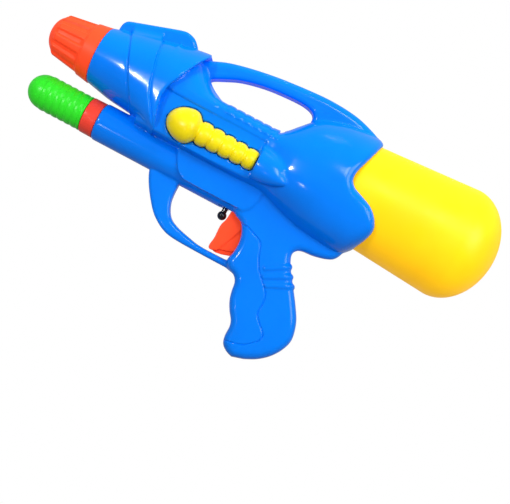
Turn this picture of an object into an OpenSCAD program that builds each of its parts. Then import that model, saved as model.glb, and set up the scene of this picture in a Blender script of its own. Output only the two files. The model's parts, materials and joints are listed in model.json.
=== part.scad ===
// Hand-pumped water squirter. Millimetres, +Z up, muzzle towards -X, tank towards +X.
// The origin is the mouth of the nozzle, on the barrel's axis. The housing splits at y = 0.

/* [Housing] */
// Wall of the housing shells
wall = 2; // [1.6:0.1:2.4]
// Radius of the housing's front rim, which the nozzle meets
rim_r = 22; // [20.5:0.5:24]
// Half-width of the waist under the carry handle
waist_w = 27; // [25:0.5:29]
// How far the bulb stands out over the tank's side
bulb_wall = 5.9; // [5:0.1:7]
// Half-width of the carry handle
strap_w = 10; // [9:0.5:12]
// Half-width of the trigger guard
guard_w = 6.5; // [6:0.5:8]
// Half-width of the pistol grip
grip_w = 15; // [14:0.5:17]
// Depth of the side channels that hold the trim
channel_depth = 1.5; // [1:0.1:2]
// Height of the slanted band round the front housing
band_h = 1; // [0.6:0.1:1.6]
// Thickness of the ribs inside the shells
rib_t = 2; // [1.6:0.2:2.4]

/* [Nozzle] */
// Length of the nozzle cap
nozzle_l = 39; // [35:0.5:43]
// Radius of the fluted cone at its front
nozzle_front_r = 16; // [14:0.2:17]
// Radius of the fluted cone at its back
nozzle_back_r = 19.4; // [18.5:0.2:20]
// Radius of the jet hole
jet_r = 1.5; // [1:0.1:2]
// Number of flutes
flutes = 11; // [8:1:14]
// Outer radius of the barrel tube
barrel_r = 7; // [6:0.5:8]
// Bore radius of the barrel tube
barrel_bore_r = 3.5; // [2.5:0.5:4]

/* [Pump] */
// Height of the pump's axis below the barrel's axis
pump_drop = 42.5; // [42:0.5:44]
// Bore radius of the pump cylinder
pump_bore_r = 10.4; // [9.8:0.1:10.8]
// Wall of the pump cylinder
pump_wall = 1.9; // [1.5:0.1:2.1]
// Travel of the pump handle
stroke = 55; // [45:1:58]
// Radius of the pump rod
rod_r = 4; // [3.2:0.2:5]
// Radius of the pump handle
handle_r = 13.3; // [12.5:0.1:14.5]
// Length of the pump handle
handle_l = 46.8; // [42:0.2:48]
// Number of ridges on the handle
handle_ridges = 6; // [4:1:7]
// Radius of the pump collar
collar_r = 13.7; // [13.4:0.1:14.3]
// Length of the pump collar in front of the housing
collar_l = 10.5; // [8:0.5:12]

/* [Tank] */
// Largest radius of the tank
tank_r = 42.7; // [41.5:0.1:43.5]
// Half-angle of the tank's taper, in degrees
tank_taper = 4.2; // [3.6:0.1:4.8]
// Length of the tank's domed end
tank_dome_l = 33; // [28:1:38]
// Wall of the tank
tank_wall = 2; // [1.6:0.1:2.4]
// Outer radius of the tank's neck
neck_r = 16; // [15:0.5:17]
// Length of the tank's neck
neck_l = 21; // [18:0.5:23]
// Thickness of the tank gasket
gasket_t = 2.2; // [1.6:0.2:3]

/* [Trigger and valve] */
// Half-width of the trigger's blade
blade_w = 5.5; // [4.5:0.1:6]
// Radius of the trigger pin
pin_r = 2; // [1.5:0.1:2.4]
// Radius of the trigger's hub
hub_r = 3.8; // [3.6:0.1:4]
// Radius of the valve body
valve_r = 7; // [6.4:0.1:7.4]
// Radius of the valve stem
stem_r = 2; // [1.6:0.1:2.2]
// Radius of the ball on the valve stem
ball_r = 3.4; // [3:0.1:3.8]
// Outer radius of the hoses
hose_r = 3.8; // [3.5:0.1:4]
// Bore radius of the hoses
hose_bore_r = 2.6; // [2.4:0.1:2.8]

/* [Trim] */
// Radius of the trim's bullet head
trim_r = 12.8; // [12:0.1:14]
// Radius of the trim's first ring
trim_ring_r = 8.9; // [8:0.1:10]
// Number of rings on the trim
trim_rings = 5; // [3:1:5]
// Radius of the trim's pegs
peg_r = 2; // [1.5:0.1:2.5]

/* [Screws] */
// Radius of the screw shanks
screw_r = 1.5; // [1.2:0.1:1.8]
// Radius of the screw heads
screw_head_r = 3; // [2.6:0.1:3.2]

/* [Clearances] */
// Radial clearance of a running fit
running = 0.05; // [0.03:0.01:0.09]
// Clearance round a piece held in ribs
seat_gap = 0.2; // [0.15:0.05:0.3]
// Clearance between pieces that move apart
move_gap = 0.3; // [0.2:0.05:0.5]

/* [Hidden] */
$fn = 48;

blue = [0.0, 0.45, 0.98];
orange = [1.0, 0.33, 0.18];
yellow = [0.99, 0.9, 0.1];
red = [0.95, 0.2, 0.13];
green = [0.2, 0.9, 0.2];
white = [0.92, 0.92, 0.9];
black = [0.06, 0.06, 0.07];
steel = [0.7, 0.72, 0.74];
clear = [0.8, 0.88, 0.9];
big = 400;

// Stations along the barrel's axis
rim_x = nozzle_l + move_gap;
lip_x = 112;
tube_rim_x = 61;
rear_x = 278;

// Levels above the barrel's axis
pump_z = -pump_drop;
waist_top_z = 11.7;
channel_top_z = 2;
channel_bottom_z = -33;
guard_top_z = -88.6;

// Barrel tube and nozzle
jet_l = 6;
seal_x = 20;
seal_t = 1;
barrel_end_x = 100;
barrel_flange_x = 47.5;
barrel_flange_t = 2;
barrel_flange_r = barrel_r + 3;

// Pump, front to back
tube_r = pump_bore_r + pump_wall + wall;
under_z = pump_z - tube_r;
collar_x = tube_rim_x - collar_l;
handle_x = collar_x - move_gap - handle_l;
rod_seat = 16;
piston_l = 10;
piston_x = tube_rim_x + stroke + 8;
cylinder_end_x = piston_x + piston_l + 2;
cylinder_l = cylinder_end_x + 3 - tube_rim_x;
spigot_r = hose_bore_r - running;
spigot_bore_r = 1.6;
spigot_l = 6;
hose_bend = 7;
outlet_bend = 13;
check_x = tube_rim_x + cylinder_l;
check_r = pump_bore_r + 1.1;
check_l = 12;
air_y = 8;
air_start_x = check_x + check_l;
air_run_x = air_start_x + spigot_l + hose_bend;

// Trigger valve, top to bottom
valve_x = 172.4;
valve_top_z = -spigot_l - outlet_bend;
valve_seat_z = valve_top_z - 6.5;
valve_cap_top_z = valve_seat_z - 14.5;
valve_bottom_z = valve_cap_top_z - 4.6;
valve_cavity_r = valve_r - 2.4;
inlet_z = valve_seat_z - 7.5;
ball_z = under_z - ball_r - 1.4;
seal_seat_z = valve_seat_z - 2.2;
stem_head_t = 1.6;

// Trigger
pivot = [184, -46];
pin_half = 12.5;
nose_r = 2.2;
nose_z = pivot[1] - 4.2;
stem_collar_top_z = nose_z - nose_r - move_gap;
stem_collar_t = 1.6;
trigger_hub_w = 4;
fork_w = stem_r + 0.5;

// Tank and its socket
socket_x = 206;
socket_front_t = 3;
socket_r = neck_r + move_gap + 3.2;
socket_l = 22;
flange_x = socket_x + 8;
flange_t = 2;
flange_r = socket_r + 4.5;
gasket_x = socket_x + socket_front_t + 0.1;
neck_x = gasket_x + gasket_t + 0.1;
shoulder_x = neck_x + neck_l;
shoulder_l = 17;
tank_dome_x = 329.5;
supply_z = -9;
air_z = 4;
tank_gap = 0.5;

// Trim
trim_z = -17.4;
trim_x = 107;
trim_head_l = 16.9;
trim_neck_l = 7.7;
ring_x = trim_x + trim_head_l + trim_neck_l;
ring_pitch = 9.25;
ring_l = 7.4;
ring_shrink = 0.35;
trim_end_x = ring_x + ring_pitch * (trim_rings - 1) + ring_l;
peg_spots = [trim_x + trim_head_l, trim_end_x - 5];
channel_y = waist_w - channel_depth;
channel_back_x = trim_end_x + 5;

// Screw seats, as [x, z] on the parting plane
screw_spots = [[52, -15.5], [84, 21], [160, 41.2], [127, -72], [212, -64], [228, -128], [226, 43.6], [242, -51.5]];
boss_r = screw_head_r + 1.2;
screw_seat_y = 3;
screw_head_t = 2.2;
screw_l = 8;

// Curves through hand-set points

// Index of the stretch of table t that holds x
function stretch(t, x, i = 0) = (i >= len(t) - 2 || x < t[i + 1][0]) ? i : stretch(t, x, i + 1);

// Smooth value at x of a table of [x, value] rows
function curve(t, x) =
    let(i = stretch(t, x), a = t[i], b = t[i + 1], h = b[0] - a[0])
    let(s = max(0, min(1, (x - a[0]) / h)))
    let(ma = i > 0 ? (b[1] - t[i - 1][1]) / (b[0] - t[i - 1][0]) : (b[1] - a[1]) / h)
    let(mb = i < len(t) - 2 ? (t[i + 2][1] - a[1]) / (t[i + 2][0] - a[0]) : (b[1] - a[1]) / h)
    a[1] * (1 + 2 * s) * (1 - s) ^ 2 + h * ma * s * (1 - s) ^ 2
    + b[1] * s * s * (3 - 2 * s) + h * mb * s * s * (s - 1);

// Open smooth line through points p, with n steps between neighbours
function smooth(p, n = 2) = [for (i = [0:len(p) - 2], k = [0:(i == len(p) - 2 ? n : n - 1)])
    let(a = p[max(0, i - 1)], b = p[i], c = p[i + 1], d = p[min(len(p) - 1, i + 2)], s = k / n)
    0.5 * (2 * b + (c - a) * s + (2 * a - 5 * b + 4 * c - d) * s ^ 2 + (3 * b - a - 3 * c + d) * s ^ 3)];

// Closed outline p moved inwards by d (p runs counter-clockwise)
function inset(p, d) = [for (i = [0:len(p) - 1])
    let(a = p[(i + len(p) - 1) % len(p)], b = p[i], c = p[(i + 1) % len(p)])
    let(u = (b - a) / norm(b - a), v = (c - b) / norm(c - b))
    let(m = [-u[1] - v[1], u[0] + v[0]], q = m / norm(m))
    b + q * d / max(0.6, q * [-u[1], u[0]])];

// Closed skin over rings of equal length
module loft(rings) {
    n = len(rings[0]);
    m = len(rings);
    polyhedron(
        points = [for (r = rings) each r],
        faces = concat(
            [[for (k = [n - 1:-1:0]) k], [for (k = [0:n - 1]) (m - 1) * n + k]],
            [for (i = [0:m - 2], k = [0:n - 1]) [i * n + k, i * n + (k + 1) % n, (i + 1) * n + (k + 1) % n]],
            [for (i = [0:m - 2], k = [0:n - 1]) [i * n + k, (i + 1) * n + (k + 1) % n, (i + 1) * n + k]]
        ),
        convexity = 8
    );
}

// Side outline p, in x and z, as a slab 2w thick with its edges rounded to r
module slab(p, w, r, steps = 2) {
    turn = [for (i = [0:steps]) 90 * i / steps];
    layers = concat(
        [for (i = [steps:-1:0]) [-(w - r + r * sin(turn[i])), r * (1 - cos(turn[i]))]],
        [for (i = [0:steps]) [w - r + r * sin(turn[i]), r * (1 - cos(turn[i]))]]
    );
    loft([for (l = layers) [for (q = inset(p, l[1])) [q[0], l[0], q[1]]]]);
}

// Side outline p, in x and z, cut straight through
module prism(p, w = big) {
    rotate([90, 0, 0]) linear_extrude(2 * w, center = true) polygon(p);
}

// Round bar along X from x by l
module bar(x, l, r, y = 0, z = 0) {
    translate([x, y, z]) rotate([0, 90, 0]) cylinder(h = l, r = r);
}

// Solid of revolution about the barrel's axis, from [x, r] points
module turned(p) {
    rotate([0, 90, 0]) rotate_extrude() polygon([for (q = p) [q[1], q[0]]]);
}

// Ring-shaped tube along X
module tube(x, l, r, bore, y = 0, z = 0) {
    difference() {
        bar(x, l, r, y, z);
        bar(x - 1, l + 2, bore, y, z);
    }
}

// Quarter bend in the plane of x and z, about centre c, from angle a in degrees
module bend(c, radius, a, y = 0, sweep = 90, r = hose_r, bore = hose_bore_r) {
    translate([c[0], y, c[1]]) rotate([90, 0, 0]) rotate([0, 0, a]) rotate_extrude(angle = sweep)
        translate([radius, 0]) difference() {
            circle(r);
            circle(bore);
        }
}

// Coil spring about Z
module coil(radius, wire, turns, height, sides = 5, steps = 10) {
    count = turns * steps;
    loft([for (i = [0:count]) let(a = 360 * i / steps)
        [for (k = [0:sides - 1]) let(b = 360 * k / sides, q = radius + wire * cos(b))
            [q * cos(a), q * sin(a), wire + (height - 2 * wire) * i / count + wire * sin(b)]]]);
}

// Outer form of the housing

shroud_top = [[rim_x, rim_r], [48, rim_r + 2.5], [74, rim_r + 8.7], [101, rim_r + 14.8], [lip_x, rim_r + 16.4]];
shroud_bottom = [[rim_x, rim_r - 0.6], [48, rim_r + 1.2], [60, rim_r + 3.5], [75, rim_r + 5], [87, rim_r + 7],
    [99, rim_r + 11], [lip_x, rim_r + 14.5]];
shroud_side = [[rim_x, rim_r], [60, rim_r + 4.5], [75, rim_r + 7], [99, rim_r + 12], [lip_x, rim_r + 14]];
bulb_x = 246;
bulb_w = tank_radius(bulb_x) + bulb_wall;
body_top = [[85, waist_top_z], [178, waist_top_z], [185, 14.2], [192, 21.8], [198, 28.4], [205, bulb_w - 8.7],
    [214, bulb_w - 5.3], [226, bulb_w - 2.5], [bulb_x, bulb_w - 1.3], [256, bulb_w - 2.1], [rear_x, bulb_w - 1.9]];
body_bottom = [[85, -32.5], [178, -32.5], [190, -34.2], [201, -38.5], [214, -bulb_w], [226, -bulb_w - 3],
    [bulb_x, -bulb_w - 5.3], [258, -bulb_w - 5.5], [268, -bulb_w - 1.1], [rear_x, 0.9 - bulb_w]];
body_side = [[85, waist_w], [172, waist_w], [182, waist_w + 1.6], [192, bulb_w - 9.5], [201, bulb_w - 5.6],
    [214, bulb_w - 2.2], [226, bulb_w - 0.6], [bulb_x, bulb_w], [262, bulb_w - 0.7], [rear_x, bulb_w - 1.4]];
body_shoulder = [[85, channel_top_z], [172, channel_top_z], [200, -1], [rear_x, -1]];
body_hip = [[85, -26], [172, -26], [200, -4], [rear_x, -4]];
body_square = [[85, 2.6], [170, 2.6], [200, 2.1], [rear_x, 2.05]];
neck_top = [[86, 35], [104, 31.5], [lip_x, 27], [119, 20.4], [126, 14.8], [134, 11]];
neck_side = [[86, waist_w + 1], [104, waist_w + 0.6], [119, waist_w - 0.4], [134, waist_w - 1.5]];

// Ring of an upper body section: half-ellipses above the shoulder and below the hip
function body_ring(x, d, w, top, bottom, shoulder, hip, square, m = 8) = [for (side = [1, -1], k = [0:m])
    let(a = 180 * k / m, c = side * cos(a), s = sin(a))
    let(y = (w - d) * sign(c) * abs(c) ^ (2 / square))
    let(rise = abs(s) ^ (2 / square))
    [x, -y, side > 0 ? shoulder + (top - d - shoulder) * rise : hip - (hip - bottom - d) * rise]];

function shroud_ring(x, d) = body_ring(x, d, curve(shroud_side, x), curve(shroud_top, x), -curve(shroud_bottom, x),
    0.5, -0.5, 2);

// The inner form is narrower still where the side channels are
function upper_ring(x, d) = let(extra = d > 0 && x < 190 ? channel_depth : 0)
    body_ring(x, d, curve(body_side, x) - extra, curve(body_top, x), curve(body_bottom, x),
        curve(body_shoulder, x), curve(body_hip, x), curve(body_square, x));

function neck_ring(x, d) = body_ring(x, d, curve(neck_side, x), curve(neck_top, x), -20, channel_top_z, -12, 2.3);

// Slanted rear edge of the front housing, seen from the side
shroud_edge = [[20, 45], [20, -40], [100, -40], [98, -27], [94, -16], [92.2, -6], [93, 3], [96, 10.5], [104, 26.5],
    [lip_x, 38], [lip_x + 1, 45]];
band_outline = concat(
    smooth([[50.6, 29], [53.4, 20.5], [58, 8.8], [65, -5.9], [73, -18.6], [79, -30]]),
    smooth([[99, -33], [91.3, -20.9], [82, -5.9], [77.4, 10.2], [75.2, 19], [74, 33]])
);
block_outline = concat(
    smooth([[101, 36], [97.5, 40.6], [93.5, 43.4], [87.8, 44.6], [82, 43.4]]),
    smooth([[48.5, 32.4], [45.5, 31], [43.4, 28], [42.8, 24]]),
    [[44, 18], [98, 28]]
);
strap_upper = smooth([[253.6, 37.4], [246.5, 41.6], [235.5, 45.6], [226, 48], [214.7, 49.4], [201, 49.8], [185, 48.8],
    [164.5, 46.8], [148.4, 44.4], [133.7, 41.4], [123, 38.4], [113, 34.2], [104, 30]]);
opening_upper = smooth([[131, 12.8], [125.5, 15.8], [121, 19], [119.2, 22], [128, 26.8], [139.2, 31.6], [154.2, 35.2],
    [168, 36.9], [185, 37.6], [194, 36], [197.4, 33], [197.8, 29]]);
strap_outline = concat(strap_upper, [[99, 25], [97, 8], [104, 2], [135, 4], [135, 11]], opening_upper,
    [[204, 24], [240, 28], [252, 32]]);
guard_outer = smooth([[109, -52], [110.5, -58], [113.5, -64.4], [118.7, -72.5], [125.7, -81.3], [131.5, -86.4],
    [139.2, -90.8], [148.4, -93], [168, -93.7], [196, -93.8]]);
guard_inner = smooth([[200, guard_top_z], [171, guard_top_z - 0.4], [158, -87], [147.2, -84.2], [140.3, -80.4],
    [135.9, -73.2], [134.2, -65], [134.2, -50]]);
guard_outline = concat(guard_outer, [[200, -93.8]], guard_inner);
grip_front = smooth([[182, under_z - 0.4], [187, -59.6], [190.8, -65.6], [192.7, -73.2], [192.4, -81.3], [191, -88],
    [194.5, -93.2], [200, -95.6], [203.4, -100], [204.6, -107], [206.4, -113.5], [209.8, -120], [214, -126],
    [215.6, -132], [215.6, -139], [217.4, -144], [221.6, -147.4], [226.7, -149.2]]);
grip_back = smooth([[235.5, -146.6], [244.3, -142], [252.3, -135], [258, -126], [260, -117], [257, -105],
    [251.3, -95.2], [245.7, -87.1], [239.9, -79.1], [234, -70.4], [231, -63.4], [232.4, -59.4], [237, -57],
    [246.5, -56], [256.7, -53.2], [262.4, -48.6], [267, -40.6]]);
grip_outline = concat(grip_front, grip_back, [[262, -30], [200, -24], [178, -30], [178, under_z + 3]]);
panel_outline = concat(
    smooth([[193, -60], [204.4, -64.4], [207.7, -68], [210.6, -75.8], [214.7, -83.4], [221.6, -90.8], [227.4, -97.3],
        [228.9, -104.7], [228.9, -112.4], [233, -117.8], [239.2, -123.7], [239.9, -127.4], [237.7, -131.8],
        [229.6, -138.3], [217.9, -141]], 1),
    [[200, -141], [180, -100], [180, -60]]
);
grip_rib_lines = [[[218.6, -80.6], [240, -67.8]], [[221, -86.4], [246, -73.2]], [[224.6, -91.6], [250, -79.6]]];
grip_rib_w = 1.6;
grip_rib_h = 0.9;
panel_depth = 0.5;
pad_outline = concat([[160, -26]], smooth([[120, -31], [124, -40.5], [128, -46.8], [132.5, -50.2], [139.2, -51.4],
    [179.3, -51.4], [184.5, -50.4], [188.4, -46.5], [190.5, -40], [191.5, -31]]));
rear_edge = concat(
    smooth([[254, 39], [253, 36.4], [248.3, 22.7], [245.2, 13], [245.2, 7], [249, 2.4], [257, -0.8], [265, -4.2],
        [270.6, -9], [274.4, -15], [275.6, -20], [274, -27], [270, -36], [265, -46]]),
    [[265, -60], [big, -60], [big, 60], [254, 60]]
);

// Radius of the tank's body at x
function tank_radius(x) = tank_r - (tank_dome_x - x) * tan(tank_taper);

module shroud(d = 0) {
    stations = [rim_x + d, 44, 50, 57, 65, 74, 83.3, 91.7, 100.2, lip_x + 3 * d];
    intersection() {
        loft([for (x = stations) shroud_ring(x, d)]);
        prism(inset(shroud_edge, d));
    }
}

module upper(d = 0) {
    stations = concat([for (x = [86:22:174]) x], [for (x = [178:6:208]) x], [for (x = [215:9:rear_x]) x], [rear_x]);
    loft([for (x = stations) upper_ring(x, d)]);
}

// Shoulder that runs from under the front housing down to the waist
module neck(d = 0) {
    loft([for (x = [88 + d, 96, 104, 112, 119, 126, 133 - d]) neck_ring(x, d)]);
}

module slabs(d = 0) {
    steps = d > 0 ? 1 : 2;
    slab(inset(strap_outline, d), strap_w - d, 3.5 - d / 2, steps);
    slab(inset(grip_outline, d), grip_w - d, 6 - d / 2, steps);
    slab(inset(pad_outline, d), tube_r + 2 - d, 1.5 - d / 2, steps);
    bar(tube_rim_x - d, cylinder_l + 60 + d, tube_r - d, 0, pump_z);
    prism([[74 + d, -20], [74 + d, pump_z], [196, pump_z], [196, -20]], tube_r - 4 - d);
}

module form() {
    shroud();
    intersection() {
        loft([for (x = [46:12:106]) shroud_ring(x, -band_h)]);
        prism(band_outline);
    }
    slab(block_outline, 7, 2.5);
    upper();
    neck();
    slabs();
    slab(guard_outline, guard_w, 2);
    for (side = [1, -1]) blister(side);
    waist_ribs();
    grip_ribs();
}

// Half-capsule on each side, behind the trim
module blister(side) {
    intersection() {
        translate([channel_back_x - 2, side * channel_y, trim_z]) scale([2.3, 0.8, 1]) sphere(r = 12.4, $fn = 16);
        translate([trim_end_x + 1.2, -big, -big]) cube(2 * big);
    }
}

// Row of finger ribs across the waist's top
module waist_ribs() {
    for (i = [0:5]) translate([142.5 + 7 * i, 0, 0]) intersection() {
        loft([for (x = [-1.2, 1.2]) [for (q = upper_ring(150, -0.9)) [x, q[1], q[2]]]]);
        translate([-5, -big, channel_top_z + 1]) cube([10, 2 * big, 30]);
    }
}

// Ribs that run round the back of the grip
module grip_ribs() {
    intersection() {
        slab(inset(grip_outline, -grip_rib_h), grip_w + grip_rib_h, 6 + grip_rib_h);
        for (l = grip_rib_lines) let(v = (l[1] - l[0]) / norm(l[1] - l[0]), s = grip_rib_w * [-v[1], v[0]])
            prism([l[0] - s, l[1] - s, l[1] + s, l[0] + s]);
    }
}

// Sunk panel on each side of the grip
module grip_panel(side) {
    translate([0, side * (grip_w - panel_depth + 10), 0]) prism(panel_outline, 10);
}

// Space that the inner pieces need in the shells
module passages() {
    $fn = 24;
    bar(-1, barrel_end_x + 1, barrel_r + seat_gap);
    bar(barrel_flange_x - seat_gap, barrel_flange_t + 2 * seat_gap, barrel_flange_r + seat_gap);
    bar(barrel_end_x - 8, valve_x - barrel_end_x, hose_r + seat_gap);
    bar(tube_rim_x - 1, check_x + check_l + 1 - tube_rim_x + seat_gap, pump_bore_r + pump_wall + seat_gap, 0, pump_z);
    bar(air_start_x, spigot_l + 2 * hose_bend, hose_r + seat_gap, air_y, pump_z);
    translate([air_run_x, air_y, pump_z]) cylinder(h = air_z - pump_z, r = hose_r + seat_gap);
    bar(air_run_x, socket_x - air_run_x, hose_r + seat_gap, air_y, air_z);
    translate([valve_x, 0, valve_bottom_z - seat_gap])
        cylinder(h = valve_top_z - valve_bottom_z + 1, r = valve_r + seat_gap);
    translate([valve_x, 0, ball_z]) cylinder(h = 30, r = ball_r + move_gap);
    bar(valve_x, 27, hose_r + seat_gap, 0, inlet_z);
    translate([valve_x + valve_r + spigot_l + hose_bend, 0, inlet_z])
        cylinder(h = supply_z - inlet_z, r = hose_r + seat_gap);
    bar(socket_x - 20, 40, socket_r + seat_gap);
    bar(flange_x - seat_gap, flange_t + 2 * seat_gap, flange_r + seat_gap);
    turned([[flange_x, 0], [flange_x, socket_r + seat_gap], [socket_x + socket_l, socket_r + seat_gap],
        for (x = [shoulder_x - 4, shoulder_x + shoulder_l, tank_dome_x]) [x, tank_radius(x) + tank_gap],
        [tank_dome_x, 0]]);
    trigger_space();
    for (x = peg_spots) translate([x, 0, trim_z]) rotate([90, 0, 0])
        cylinder(h = 4 * waist_w, r = peg_r + seat_gap, center = true, $fn = 12);
}

// Slot that the trigger swings in
module trigger_space() {
    slot_w = blade_w + move_gap;
    front_x = valve_x - 6;
    sill_z = nose_z - 5.4;
    roof_z = pivot[1] + hub_r + 1.6;
    tip_x = pivot[0] - 11;
    prism([[front_x, sill_z], [front_x, roof_z], [pivot[0] + 4.4, roof_z], [pivot[0] + 13, pivot[1]],
        [pivot[0] + 26, pivot[1] - 32], [pivot[0] + 24, guard_top_z - 1.4], [pivot[0] + 12, guard_top_z + 0.1],
        [tip_x, guard_top_z + 0.1], [tip_x - 1, under_z - 12], [valve_x + 3, under_z - 1],
        [valve_x + 3, sill_z]], slot_w);
    translate([pivot[0], 0, pivot[1]]) rotate([90, 0, 0]) cylinder(h = 18, r = hub_r + 0.8, center = true);
}

module inside(d = wall) {
    shroud(d);
    difference() {
        upper(d);
        prism([[20, 20], [86 + d, 20], [86 + d, -40], [20, -40]]);
    }
    neck(d);
    slabs(d);
    prism([[84, -14], [84, 4], [120, 4], [120, -14]], waist_w - 8);
    prism([[79, -30], [79, -20], [190, -16], [190, -36]], tube_r - 7);
}

// Ribs that seat the inner pieces, and bosses for the screws and the trigger pin
module ribs() {
    for (x = [barrel_flange_x - rib_t - seat_gap, barrel_flange_x + barrel_flange_t + seat_gap, 82, 126,
            flange_x - rib_t - seat_gap, flange_x + flange_t + seat_gap])
        translate([x, -big / 2, -60]) cube([rib_t, big, 112]);
    for (z = [valve_bottom_z + 3, valve_seat_z])
        translate([valve_x - valve_r + 3, -waist_w, z]) cube([valve_r + 4, 2 * waist_w, rib_t]);
    for (s = screw_spots) translate([s[0], 0, s[1]]) rotate([90, 0, 0]) hull() {
        cylinder(h = 2 * grip_w + 50, r = boss_r, center = true, $fn = 10);
        translate([0, 2 - boss_r, 0]) cube([1, 4, 2 * grip_w + 50], center = true);
    }
    translate([pivot[0], 0, pivot[1]]) rotate([90, 0, 0]) cylinder(h = 40, r = hub_r, center = true, $fn = 16);
}

module shell(side) {
    color(blue) intersection() {
        translate([-big / 2, side > 0 ? 0 : -big, -big / 2]) cube([2 * big, big, big]);
        difference() {
            union() {
                difference() {
                    form();
                    inside();
                }
                intersection() {
                    inside(wall / 2);
                    difference() {
                        ribs();
                        passages();
                    }
                }
            }
            passages();
            prism(rear_edge);
            for (s = [1, -1]) {
                channel(s);
                grip_panel(s);
            }
            translate([pivot[0], 0, pivot[1]]) rotate([90, 0, 0])
                cylinder(h = 2 * pin_half + seat_gap, r = pin_r + seat_gap / 2, center = true, $fn = 20);
            for (s = screw_spots) translate([s[0], 0, s[1]]) rotate([-90, 0, 0]) {
                translate([0, 0, screw_seat_y]) cylinder(h = big, r = screw_head_r + seat_gap, $fn = 12);
                translate([0, 0, screw_seat_y - screw_l - 0.5])
                    cylinder(h = screw_l + 1, r = screw_r + seat_gap, $fn = 10);
            }
        }
    }
}

// Flat-floored channel in the side of the waist
module channel(side) {
    outline = concat(
        smooth([[99, channel_bottom_z + 2], [96, -24], [94.4, -14], [94.4, -6], [96, channel_top_z - 0.6]]),
        [[channel_back_x - 4, channel_top_z - 0.6], [channel_back_x - 3, channel_bottom_z + 2]]
    );
    translate([0, side * (channel_y + 20), 0]) prism(outline, 20);
}

module left_shell() { shell(-1); }
module right_shell() { shell(1); }

module shell_screws() {
    color(steel) for (s = screw_spots) translate([s[0], screw_seat_y, s[1]]) rotate([-90, 0, 0]) {
        cylinder(h = screw_head_t, r = screw_head_r);
        translate([0, 0, -screw_l]) cylinder(h = screw_l, r = screw_r);
    }
}

// Nozzle

module nozzle_cap() {
    cone_x = 7.8;
    step_x = nozzle_l - 10;
    sleeve_r = barrel_r + running + 2.2;
    dome = [[0, 0.3], [0.5, 0.4], [1.3, 0.53], [2.4, 0.66], [4.2, 0.79], [6, 0.9]];
    color(orange) difference() {
        turned(concat(
            [[0, 0]],
            [for (q = dome) [q[0], nozzle_front_r * q[1]]],
            [[cone_x, nozzle_front_r], [step_x - 0.8, nozzle_back_r], [step_x, nozzle_back_r + 1],
                [nozzle_l - 4, rim_r - 0.6],
                [nozzle_l, rim_r], [nozzle_l, 0]]
        ));
        for (i = [0:flutes - 1]) rotate([90 + 360 * i / flutes, 0, 0]) translate([4.4, 0, nozzle_front_r + 0.2])
            rotate([0, 90 - atan2(nozzle_back_r - nozzle_front_r, step_x - cone_x), 0]) {
                cylinder(h = step_x - 9, r = 2.1);
                translate([0, 0, step_x - 9]) sphere(r = 2.1);
            }
        bar(-1, nozzle_l, jet_r);
        bar(jet_l, nozzle_l, barrel_r + running);
        turned([[16, sleeve_r], [16, nozzle_front_r - 3.4], [step_x, nozzle_back_r - 4], [nozzle_l + 1, rim_r - 2.4],
            [nozzle_l + 1, sleeve_r]]);
    }
}

module barrel_tube() {
    color(white) difference() {
        union() {
            bar(jet_l + 2, barrel_end_x - jet_l - 2, barrel_r);
            bar(barrel_flange_x, barrel_flange_t, barrel_flange_r);
            bar(barrel_end_x - 1, spigot_l + 1, spigot_r);
        }
        bar(jet_l, barrel_end_x - jet_l - 4, barrel_bore_r);
        bar(jet_l, barrel_end_x, spigot_bore_r);
        turned([[seal_x - seal_t, barrel_r + 1], [seal_x - seal_t, barrel_r - 2 * seal_t],
            [seal_x + seal_t, barrel_r - 2 * seal_t], [seal_x + seal_t, barrel_r + 1]]);
    }
}

module nozzle_seal() {
    color(black) translate([seal_x, 0, 0]) rotate([0, 90, 0]) rotate_extrude()
        translate([barrel_r - seal_t, 0]) circle(seal_t - running);
}

// Hoses

module outlet_hose() {
    bend_z = valve_top_z + spigot_l;
    color(clear) {
        translate([valve_x, 0, valve_top_z]) difference() {
            cylinder(h = spigot_l, r = hose_r);
            translate([0, 0, -1]) cylinder(h = spigot_l + 2, r = hose_bore_r);
        }
        bend([valve_x - outlet_bend, bend_z], outlet_bend, 0, 0, 90);
        outlet_riser();
    }
}

// Straight run from the bend to the barrel tube
module outlet_riser() {
    tube(barrel_end_x, valve_x - outlet_bend - barrel_end_x, hose_r, hose_bore_r, 0, valve_top_z + spigot_l + outlet_bend);
}

module supply_hose() {
    run_x = valve_x + valve_r + spigot_l + hose_bend;
    color(clear) {
        tube(valve_x + valve_r, spigot_l, hose_r, hose_bore_r, 0, inlet_z);
        bend([run_x - hose_bend, inlet_z + hose_bend], hose_bend, 270);
        translate([run_x, 0, inlet_z + hose_bend]) difference() {
            cylinder(h = supply_z - inlet_z - 2 * hose_bend, r = hose_r);
            translate([0, 0, -1]) cylinder(h = supply_z - inlet_z, r = hose_bore_r);
        }
        bend([run_x + hose_bend, supply_z - hose_bend], hose_bend, 90);
        tube(run_x + hose_bend, socket_x - run_x - hose_bend, hose_r, hose_bore_r, 0, supply_z);
    }
}

module air_hose() {
    color(clear) {
        tube(air_start_x, spigot_l, hose_r, hose_bore_r, air_y, pump_z);
        bend([air_start_x + spigot_l, pump_z + hose_bend], hose_bend, 270, air_y);
        translate([air_run_x, air_y, pump_z + hose_bend]) difference() {
            cylinder(h = air_z - pump_z - 2 * hose_bend, r = hose_r);
            translate([0, 0, -1]) cylinder(h = air_z - pump_z, r = hose_bore_r);
        }
        bend([air_run_x + hose_bend, air_z - hose_bend], hose_bend, 90, air_y);
        tube(air_run_x + hose_bend, socket_x - air_run_x - hose_bend, hose_r, hose_bore_r, air_y, air_z);
    }
}

// Pump

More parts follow.
